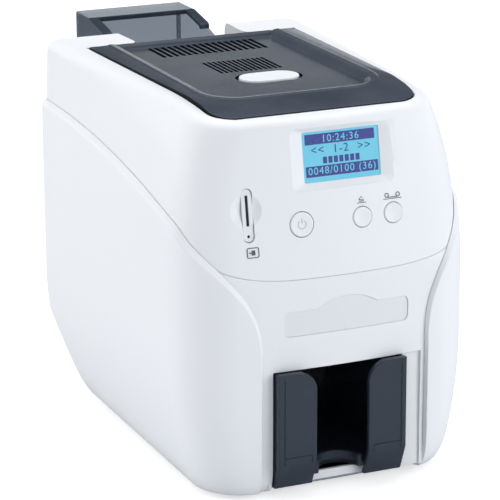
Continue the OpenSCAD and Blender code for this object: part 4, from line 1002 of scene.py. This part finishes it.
ink = [bar(-0.3, 9.4, 41.0, 5.6), bar(0.2, -7.8, 42.6, 5.8),
       lettering("<<  1-2  >>", 6.4, (0, 3.3), FACE)]
ink += [bar(-9.6 + 3.2 * i, -2.2, 2.4, 3.6) for i in range(7)]
dress(joined("display_ink", ink), lcd_ink, "chassis", "display")
light = [lettering("10:24:36", 5.6, (0, 9.2), FACE - 0.06),
         lettering("0048/0100 (36)", 5.6, (0.2, -7.7), FACE - 0.06)]
dress(joined("display_light_digits", light), lcd, "chassis", "display")

# %% [markdown]
# ## Buttons and printed signs
# A button is a stack of circles: straight sides, a small rounded edge and a
# shallow hollow for the finger. Signs are thin strokes, a small section
# carried along a path, as the ink of pad printing lies on the surface.

# %% Buttons
def push_button(name, x, d, body):
    """Stack of circles: from the flange inside, up the side, round the rim, into the hollow."""
    r, rim_r = d / 2, 0.7
    profile = [(r + 1.5, 4.4), (r + 1.5, 3.4), (r, 3.4), (r, 0.1)]
    profile += [(r - rim_r * (1 - math.cos(a)), 0.1 - rim_r * math.sin(a))
                for a in np.radians((20, 40, 60, 80))]
    profile += [(r * k - rim_r, -0.6 + 0.4 * (1 - k ** 2)) for k in (0.97, 0.8, 0.6, 0.4, 0.2)]
    button = on_face(name, (x, BUTTON_Z), [(circle(q), depth) for q, depth in profile])
    return dress(button, abs_white, body, "casing", body, angle=40)


for name, (x, d) in BUTTONS.items():
    push_button(name + "_cap", x, d, name + "_button")

# %% Strokes
def stroke(place, path, width, depth=0.02, high=0.08, bowed=True):
    """A flat stroke: a thin rectangle carried along a path, turned to its normal.
    A bowed one follows the bulge of the front, BOW deep at 58 mm from the middle."""
    x, z = place
    path = np.asarray(path, float)
    along = np.gradient(path, axis=0)
    across = np.stack([-along[:, 1], along[:, 0]], -1)
    across *= width / 2 / np.linalg.norm(across, axis=1, keepdims=True)
    sides = np.stack([path - across, path + across, path + across, path - across], 1)
    depths = np.array([depth, depth, depth - high, depth - high])
    points = np.stack([sides[..., 0], np.broadcast_to(depths, sides.shape[:2]), sides[..., 1]], -1)
    if bowed:
        reach = WIDTH / 2 - CORNER
        points[..., 1] += BOW * ((x + points[..., 0]) / reach) ** 2 - BOW * (x / reach) ** 2
    return skinned("stroke", on_front(x, z, points))


def arc_path(r, start, stop, centre=(0, 0)):
    """Points along an arc between two angles in degrees."""
    a = np.radians(np.linspace(start, stop, 24))
    return np.stack([centre[0] + r * np.cos(a), centre[1] + r * np.sin(a)], -1)


# Pad printed ink is thin and even, and dries to a satin skin
inks = []
for tone, colour in (("pale", "#c3c9d2"), ("grey", "#545e6e")):
    ink_film, tree, shader, where = finish("ink_pad_printed_" + tone, colour, Roughness=0.45)
    tree.links.new(grain(tree, where, 0.5, 0.004)[0], shader.inputs["Normal"])
    inks.append(ink_film)
pale_ink, grey_ink = inks
print("inks", [ink_film.name for ink_film in inks])

# %% Signs of the buttons and the card slot, as (path, width)
power, eject, ribbon = ((x, BUTTON_Z) for x, _ in BUTTONS.values())
sign = [stroke(power, path, 0.5, -0.2, 0.2, False)
        for path in (arc_path(2.3, 125, 415), [(0, 0.6), (0, 3.2)])]
dress(joined("power_sign", sign), pale_ink, "power_button", "casing")

LABEL = 9.0                     # the signs stand this far above their buttons
card = round_rect(6.4, 5.2, 0.9)
SIGNS = {
    (eject[0], BUTTON_Z + LABEL): [
        ([(-2.8, -1.5), (2.8, -1.5)], 0.35), ([(-1.5, -0.6), (1.5, -0.6)], 0.5),
        ([(-1.6, 0.2), (0, 1.9), (1.6, 0.2), (-1.6, 0.2)], 0.4)],
    (ribbon[0], BUTTON_Z + LABEL): [
        ([(-5.6, -1.5), (5.6, -1.5)], 0.35), ([(-3, -0.7), (3, -0.7)], 0.4),
        (arc_path(1.1, 0, 360, (-3.4, 0.5)), 0.45), (arc_path(1.1, 0, 360, (3.4, 0.5)), 0.45)],
    (CHIP[0] + 1.5, CHIP[1] - 19.5): [
        (np.vstack([card, card[:1]]), 0.45), ([(0.2, -1.3), (0.2, 1.3)], 2.0),
        ([(-2.2, 0), (-0.9, 0)], 0.5)],
}
marks = [stroke(place, *line) for place, lines in SIGNS.items() for line in lines]
dress(joined("printed_signs", marks), grey_ink, "chassis", "casing")

# %% Chip card reader's mouth
insert = round_rect(5.8, 28.5, 2.89, 10)
mouth = on_face("chip_reader_mouth", CHIP, [(insert, 20), (insert, 1.5), (insert * 0.97, 1.2)],
                CHIP_TURN)
# A slot for the card's edge, and a pinhole below that frees a jammed card
openings = [(DIMPLE, round_rect(1.6, 16.4, 0.3, 3), 15),
            ((CHIP[0], CHIP[1] - 11), circle(0.8, 24), 8)]
mouth = carved(mouth, [prism("cut", place, outline, (-3, deep + 1), CHIP_TURN)
                       for place, outline, deep in openings])
dress(mouth, abs_white, "chassis", "casing", "chip_reader")
# Painted shade: black plugs fill the card slot and the pinhole from 2 mm in, standing in for the
# shade inside them
slot_shade_plugs = [prism("slot_shade_plugs", place, outline * 0.98, (2, deep), CHIP_TURN)
            for place, outline, deep in openings]
dress(joined("chip_slot_shade_plugs", slot_shade_plugs), black_abs, "chassis", "casing")

# %% [markdown]
# ## The lid
# The lid is smoked plastic with two raised rails, a sloped front band and a
# sunk middle with air slots. Its skin is a stack of loops: the outer edge, the
# slope up to the rim, a low bead that lights up as a line, and the wall down
# into the dish, which one flat face closes. A second stack, one wall further
# in, makes it hollow. Slots and the button's oval are cut through. The loops
# share one parameter t, so that each point has its partner on the next loop.

# %% Outlines of the lid and its dish
LID_REAR, LID_REAR_HALF, LID_T = 200.0, 66.0, 2.2
RIDGE, DISH_Z = 2.0, 210.5      # height of the rim over the casing, and of the dish's floor
DISH_HALF, DISH_R, DISH_FRONT, DISH_REAR = 51.0, 18.0, 55.0, 198.0
DISH_RIGHT = 0.957              # share of its width that the dish keeps on the right

right = np.r_[runs(18, 16, 50, 10), 4.02 + np.linspace(0, 0.98, 20)]
t = np.r_[right, right[-2:0:-1]]
mirror = np.r_[np.ones(len(right)), -np.ones(len(right) - 2)]
raised = t < 4.01               # all but the rear edge between the rails
print("points in each loop of the lid", len(t))


def lid_outline(grow):
    """The lid's outline, t 0 middle front, 1-2 corner, 3 rear corner, 4-5 rear edge."""
    r, a = LID_CORNER + grow, quarter(t, 1)
    cx, cy, wide = LID_HALF - LID_CORNER, LID_FRONT + LID_CORNER, LID_REAR_HALF + grow
    inner = DISH_HALF + 0.2
    x = choose(t, (1, 2, 3, 4, 6), t * cx, cx + r * np.cos(a),
               LID_HALF + grow + (t - 2) * (LID_REAR_HALF - LID_HALF),
               wide - (t - 3) * (wide - inner), inner * (5 - t))
    y = choose(t, (1, 2, 3, 6), LID_FRONT - grow, cy + r * np.sin(a),
               cy + (t - 2) * (LID_REAR - cy), LID_REAR + grow)
    return x, y


def dish_outline(grow):
    """The dish's outline, matched to the lid's: round in front, straight at the rear."""
    r, a = DISH_R + grow, quarter(t, 1)
    cx, cy, wide = DISH_HALF - DISH_R, DISH_FRONT + DISH_R, DISH_HALF + grow
    x = choose(t, (1, 2, 3, 4, 6), t * cx, cx + r * np.cos(a), wide, wide - (t - 3) * 0.5,
               (wide - 0.5) * (5 - t))
    y = choose(t, (1, 2, 3, 6), DISH_FRONT - grow, cy + r * np.sin(a),
               cy + (t - 2) * (DISH_REAR - cy), DISH_REAR + min(grow, 1.2))
    return x * np.where(mirror > 0, DISH_RIGHT, 1), y


def lid_height(x, y):
    """Height of the rim: the lowest of a side slope, the ridge and a front slope;
    between the rails at the rear it sinks to just above the dish."""
    top = HEIGHT - crown_drop(y)
    side = HEIGHT + 0.8 + (LID_REAR_HALF - x) * 1.5 / 10
    front = top + 0.4 + (y - LID_FRONT) * 2.1 / 26
    return np.where(raised, np.minimum(np.minimum(side, top + RIDGE), front), DISH_Z + 0.7)


# %% Lid shell
def lid_loop(x, y, z):
    """A loop of the lid, with its second half mirrored to the left."""
    return level(x * mirror, y, z)


def lid_stack(inset):
    """Loops from the lower edge up, over the ridge and down to the dish's flat,
    all moved in by inset."""
    x, y = lid_outline(-inset)
    loops = [lid_loop(x, y, HEIGHT - crown_drop(y) - 2.7),
             lid_loop(x, y, lid_height(x, y) - 0.6 - inset)]
    x, y = lid_outline(-0.2 - inset)
    loops.append(lid_loop(x, y, lid_height(x, y) - 0.2 - inset))
    # Shares of the way from the lid's edge to the bead
    edge, bead = np.array(lid_outline(-0.6)), np.array(dish_outline(5.6))
    for share in (0.02, 0.35, 0.7, 1.0):
        x, y = edge + (bead - edge) * share
        loops.append(lid_loop(x, y, lid_height(x, y) - inset))
    # A bead round the dish: a bell curve 0.45 mm high, steep outside and gentle inside
    for grow in (5.2, 4.8, 4.4, 4.0, 3.4, 2.8, 2.2, 1.6, 1.2, 0.8):
        swell = 0.45 * math.exp(-((grow - 4.2) / (0.7 if grow > 4.2 else 2.6)) ** 2)
        x, y = dish_outline(grow)
        loops.append(lid_loop(x, y, lid_height(x, y) + swell * raised - inset))
    # Down into the dish: half a cosine wave, 4.6 mm across
    for share in np.linspace(0.1, 1, 10):
        left = (1 + math.cos(math.pi * share)) / 2
        x, y = dish_outline(0.8 - 4.6 * share)
        loops.append(lid_loop(x, y, DISH_Z - inset + (lid_height(x, y) - DISH_Z) * left))
    return loops


lid = skinned("lid_shell", np.stack(lid_stack(0.0)[::-1] + lid_stack(LID_T)))
print("lid", len(lid.data.polygons), "faces before the cuts")

# %% Air slots, the button's well and the rolled rear edge
BUTTON_AT, BUTTON_L, BUTTON_W = (2.0, 100.0), 35.0, 20.0
HINGE_Y, HINGE_Z, HINGE_R = 203.0, 209.5, 3.5


def standing(name, x, y, outlines):
    """A solid at (x, y), skinned over level layers of (outline, height)."""
    return skinned(name, np.stack([level(o[:, 0] + x, o[:, 1] + y, z) for o, z in outlines]))


def vent_row(count, pitch, y, length):
    """Cutters for a row of slots along Y, a little over half a pitch wide."""
    outline = round_rect(pitch * 0.62, length, pitch * 0.2, 3)
    return [standing("cut", (i - (count - 1) / 2) * pitch, y, [(outline, 190), (outline, 230)])
            for i in range(count)]


def oval(name, layers):
    """A stack of the button's ovals, each given as (how much larger, height)."""
    return standing(name, *BUTTON_AT, [
        (round_rect(BUTTON_L + 2 * grow, BUTTON_W + 2 * grow, BUTTON_W / 2 + grow - 0.01, 14), z)
        for grow, z in layers])


def roll_between(x0, x1):
    """The rolled rear edge: circles along X, with a small radius at both ends."""
    ring = circle(1.0, 40)
    ends = [(x0, HINGE_R - 0.5), (x0 + 0.5, HINGE_R), (x1 - 0.5, HINGE_R), (x1, HINGE_R - 0.5)]
    return skinned("roll", np.stack([level(x, HINGE_Y + ring[:, 0] * r, HINGE_Z + ring[:, 1] * r)
                                     for x, r in ends]))


# The well's upright walls take the lid's painted shade, so the gutter reads dark
well = oval("cut", [(0.4, 200), (0.4, DISH_Z - 1.8), (2.0, DISH_Z - 1.6), (2.3, 230)])
lid = carved(lid, vent_row(17, 4, 182.5, 26) + vent_row(13, 3, 133, 29) + [well])
rolls = [roll_between(*span) for span in ((-65.7, -56.4), (-49.6, 49.6), (56.4, 65.7))]
lid = joined("lid_shell", [lid] + rolls)
dress(lid, smoke, "lid", "smoke", "lid_cover", angle=30)

# %% Lid button: straight side, rounded rim and flat top, with a stem to the latch
SIDE_Z, RIM_R = 210.6, 0.7
layers = [(0, 208.8), (0, SIDE_Z)]
layers += [(-RIM_R * (1 - math.cos(a)), SIDE_Z + RIM_R * math.sin(a))
           for a in np.radians((30, 60, 90))]
layers += [(-RIM_R - 8.6 * share, SIDE_Z + RIM_R) for share in (0.3, 0.6, 0.9)]
stem = block((-2, 6), (102, 104), (198.0, 209.0))
dress(joined("lid_button_cap", [oval("cap", layers), stem]), abs_white, "lid_button", "casing",
      "lid_button")

# %% [markdown]
# ## Hopper and stacker
# Both are boxes of smoked plates. A plate is a flat outline carried a little
# way along one axis; a fine bevel gives its edges the bright line that thin
# clear plastic shows. The hopper's case is clear enough to see the cards, its
# hood is milky, and thick rails edge its open top.

# %% Plates
def plate_x(outline, x0, x1):
    """Outline in (depth, height), carried from x0 to x1."""
    outline = np.asarray(outline, float)
    return skinned("plate", np.stack([level(x, outline[:, 0], outline[:, 1]) for x in (x0, x1)]))


def plate_z(outline, z0, z1):
    """Outline in (x, depth), carried from z0 to z1."""
    outline = np.asarray(outline, float)
    return skinned("plate", np.stack([level(outline[:, 0], outline[:, 1], z) for z in (z0, z1)]))


# %% Hopper
HOPPER, HOPPER_TOP, HOPPER_T = 35.0, 211.7, 2.5   # half width, top and thickness of the plates
REAR, FLOOR_Z, FRONT_END = 312.0, 122.0, 221.0    # rear face, underside and inner end
HOOD, RAIL = 288.0, 263.5       # front edge of the hood, front end of the rails
rail_z = HOPPER_TOP - 4.7       # height of the rails' front end
case_side = [(FRONT_END, FLOOR_Z), (REAR, FLOOR_Z), (REAR, HOPPER_TOP - 0.5),
             (HOOD, HOPPER_TOP - 0.5), (RAIL, rail_z - 0.5), (RAIL, rail_z - 3),
             (DEPTH, rail_z - 9), (FRONT_END, FLOOR_Z + 45)]
rail_side = [(HOOD, HOPPER_TOP), (RAIL + 1.5, rail_z + 0.3), (RAIL, rail_z - 1),
             (RAIL, rail_z - 3.4), (RAIL + 2.4, rail_z - 3.4), (RAIL + 2.4, rail_z - 2),
             (HOOD, HOPPER_TOP - 2.4)]
across = (-HOPPER, HOPPER)
base = carved(block(across, (FRONT_END, REAR), (FLOOR_Z, FLOOR_Z + 3)),
              [block((-14, 14), (219, 238), (120, 130))])
plates = [plate_x(case_side, -HOPPER, -HOPPER + HOPPER_T),
          plate_x(case_side, HOPPER - HOPPER_T, HOPPER),
          block(across, (REAR - HOPPER_T, REAR), (FLOOR_Z, HOPPER_TOP - 2)), base]
rails = [plate_x(rail_side, -HOPPER - 0.25, -HOPPER + 6),
         plate_x(rail_side, HOPPER - 6, HOPPER + 0.25),
         block(across, (HOOD - 0.6, HOOD + 0.8), (HOPPER_TOP - 3, HOPPER_TOP - 0.1))]
hood = block((-HOPPER + 0.3, HOPPER - 0.3), (HOOD + 0.8, REAR - 0.2),
             (HOPPER_TOP - 2.2, HOPPER_TOP))
for name, parts, plastic, *nodes in (("hopper_case", plates, hopper_smoke, "hopper_box"),
                                     ("hopper_rails", rails, dark_smoke),
                                     ("hopper_hood", [hood], hood_smoke)):
    dress(joined(name, parts), plastic, "chassis", "smoke", *nodes, bevel=0.5, segments=2)

# %% Guides of the stacker
SX, SHALF, STOP = 1.0, 38.3, 72.0   # middle, half width and height of the stacker
GUIDE, GUIDE_T, GUIDE_R = 22.8, 3.5, 11.0   # width, thickness and top radius of a guide
KNEE, GFOOT, SFLOOR = 20.0, 6.0, 5.3   # knee, how far the foot bends back, lower edge


def guide(side):
    """Stack of rounded rectangles over the height: the inner edge ends in an arc
    of GUIDE_R at the top, and below the knee the whole guide bends back."""
    turn_z, middle = STOP - GUIDE_R, GUIDE_T / 2
    z = np.r_[np.linspace(SFLOOR, KNEE - 2, 6), np.linspace(KNEE - 1, KNEE + 2, 5),
              np.linspace(26, turn_z, 6),
              turn_z + GUIDE_R * np.sin(np.radians(np.arange(8, 89, 8)))]
    back = GFOOT * np.maximum(0, (KNEE - z + 0.4) / (KNEE - SFLOOR)) ** 1.05
    inner = GUIDE - GUIDE_R + np.sqrt(GUIDE_R ** 2 - np.maximum(0, z - turn_z) ** 2)
    ring = round_rect(GUIDE_T, GUIDE_T, 0.9, 3)
    loops = []
    for height, shift, breadth in zip(z, back, inner):
        loop = ring[:, 0] + np.where(ring[:, 0] > 0, breadth - middle, middle)
        loops.append(level(SX + side * (loop - SHALF), ring[:, 1] + middle + shift, height))
    # Fine grooves follow the outer edge and the foot
    grooves = [((3.0, 3.7), (9.0, 69.0)), ((3.0, 20.0), (24.0, 24.6)), ((19.4, 20.0), (9.0, 24.0))]
    cutters = [block(sorted(SX + side * (np.array(x) - SHALF)), (-1, 0.45), z) for x, z in grooves]
    return carved(skinned("guide", np.stack(loops)), cutters)


# %% Floor, lip and walls of the stacker
NOTCH_R, LIP_T, BACK = 12.0, 2.5, 94.0   # thumb notch, thickness of its lip, rear of the tray
a = np.radians(np.arange(0, 181, 10))
arc = np.stack([SX + NOTCH_R * np.cos(a), GFOOT - 1 + NOTCH_R * np.sin(a)], -1)
arc[[0, -1], 1] = GFOOT
centre = np.array([SX, GFOOT - 1])
lip = np.vstack([arc, centre + (arc[::-1] - centre) * (NOTCH_R + LIP_T) / NOTCH_R])
x0, x1 = SX - SHALF + 0.3, SX + SHALF - 0.3
floor_plan = np.vstack([arc, [(x0, GFOOT), (x0, BACK), (x1, BACK), (x1, GFOOT)]])
wall_side = [(GFOOT + 1, SFLOOR), (BACK - 0.3, SFLOOR), (BACK - 0.3, 36), (42, STOP - 4),
             (0.5, STOP - 0.2), (0.5, KNEE)]
parts = [guide(1), guide(-1), plate_z(floor_plan, SFLOOR + 5, SFLOOR + 7.5),
         plate_z(lip, SFLOOR + 5, SFLOOR + 12)]
parts += [plate_x(wall_side, *sorted(SX + side * (SHALF - np.array([0.15, 2.2]))))
          for side in (-1, 1)]
parts.append(block((x0, x1), (BACK - 2.2, BACK), (SFLOOR + 0.2, 25)))
dress(joined("stacker_drawer", parts), dark_smoke, "stacker", "dark_smoke", "stacker_tray",
      bevel=0.35, segments=2)

# %% [markdown]
# ## The mechanism
# The remaining solids keep their exact shapes and only get their finishes. A
# small table pairs each finish with the parts made of that material.

# %% Finishes of the fixed solids
FINISHES = {
    steel: "latch_studs hinge_pins hopper_gate tie_bars latch_rod pick_shaft feed_shaft "
           "platen_shaft exit_shaft feed_pinch_roller exit_pinch_roller port_sockets",
    zinc: "base_tray hinge_brackets left_frame_plate right_frame_plate head_bracket lid_latch",
    aluminium: "head_heatsink motor_pulley",
    rubber: "feet drive_belt",
    silicone: "pick_roller feed_roller platen_roller exit_roller cleaning_roller",
    nylon: "card_guides shaft_bushes supply_spool takeup_spool takeup_gear",
    black_abs: "power_inlet switch_frame power_rocker",
    motor_paint: "drive_motor ribbon_motor",
    ribbon_film: "ribbon_film ribbon_roll",
    copper_board: "display_board main_board",
    ceramic: "print_head",
    brass: "ribbon_pinion",
    dark_smoke: "lid_frame card_weight",
}
for material, names in FINISHES.items():
    for name in names.split():
        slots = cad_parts[name].data.materials
        if not len(slots):
            slots.append(material)
        for i in range(len(slots)):
            slots[i] = material
finished = " ".join(FINISHES.values()).split()
print("nodes without a finish", [name for name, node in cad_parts.items()
                                 if not node.hide_render and name not in finished])
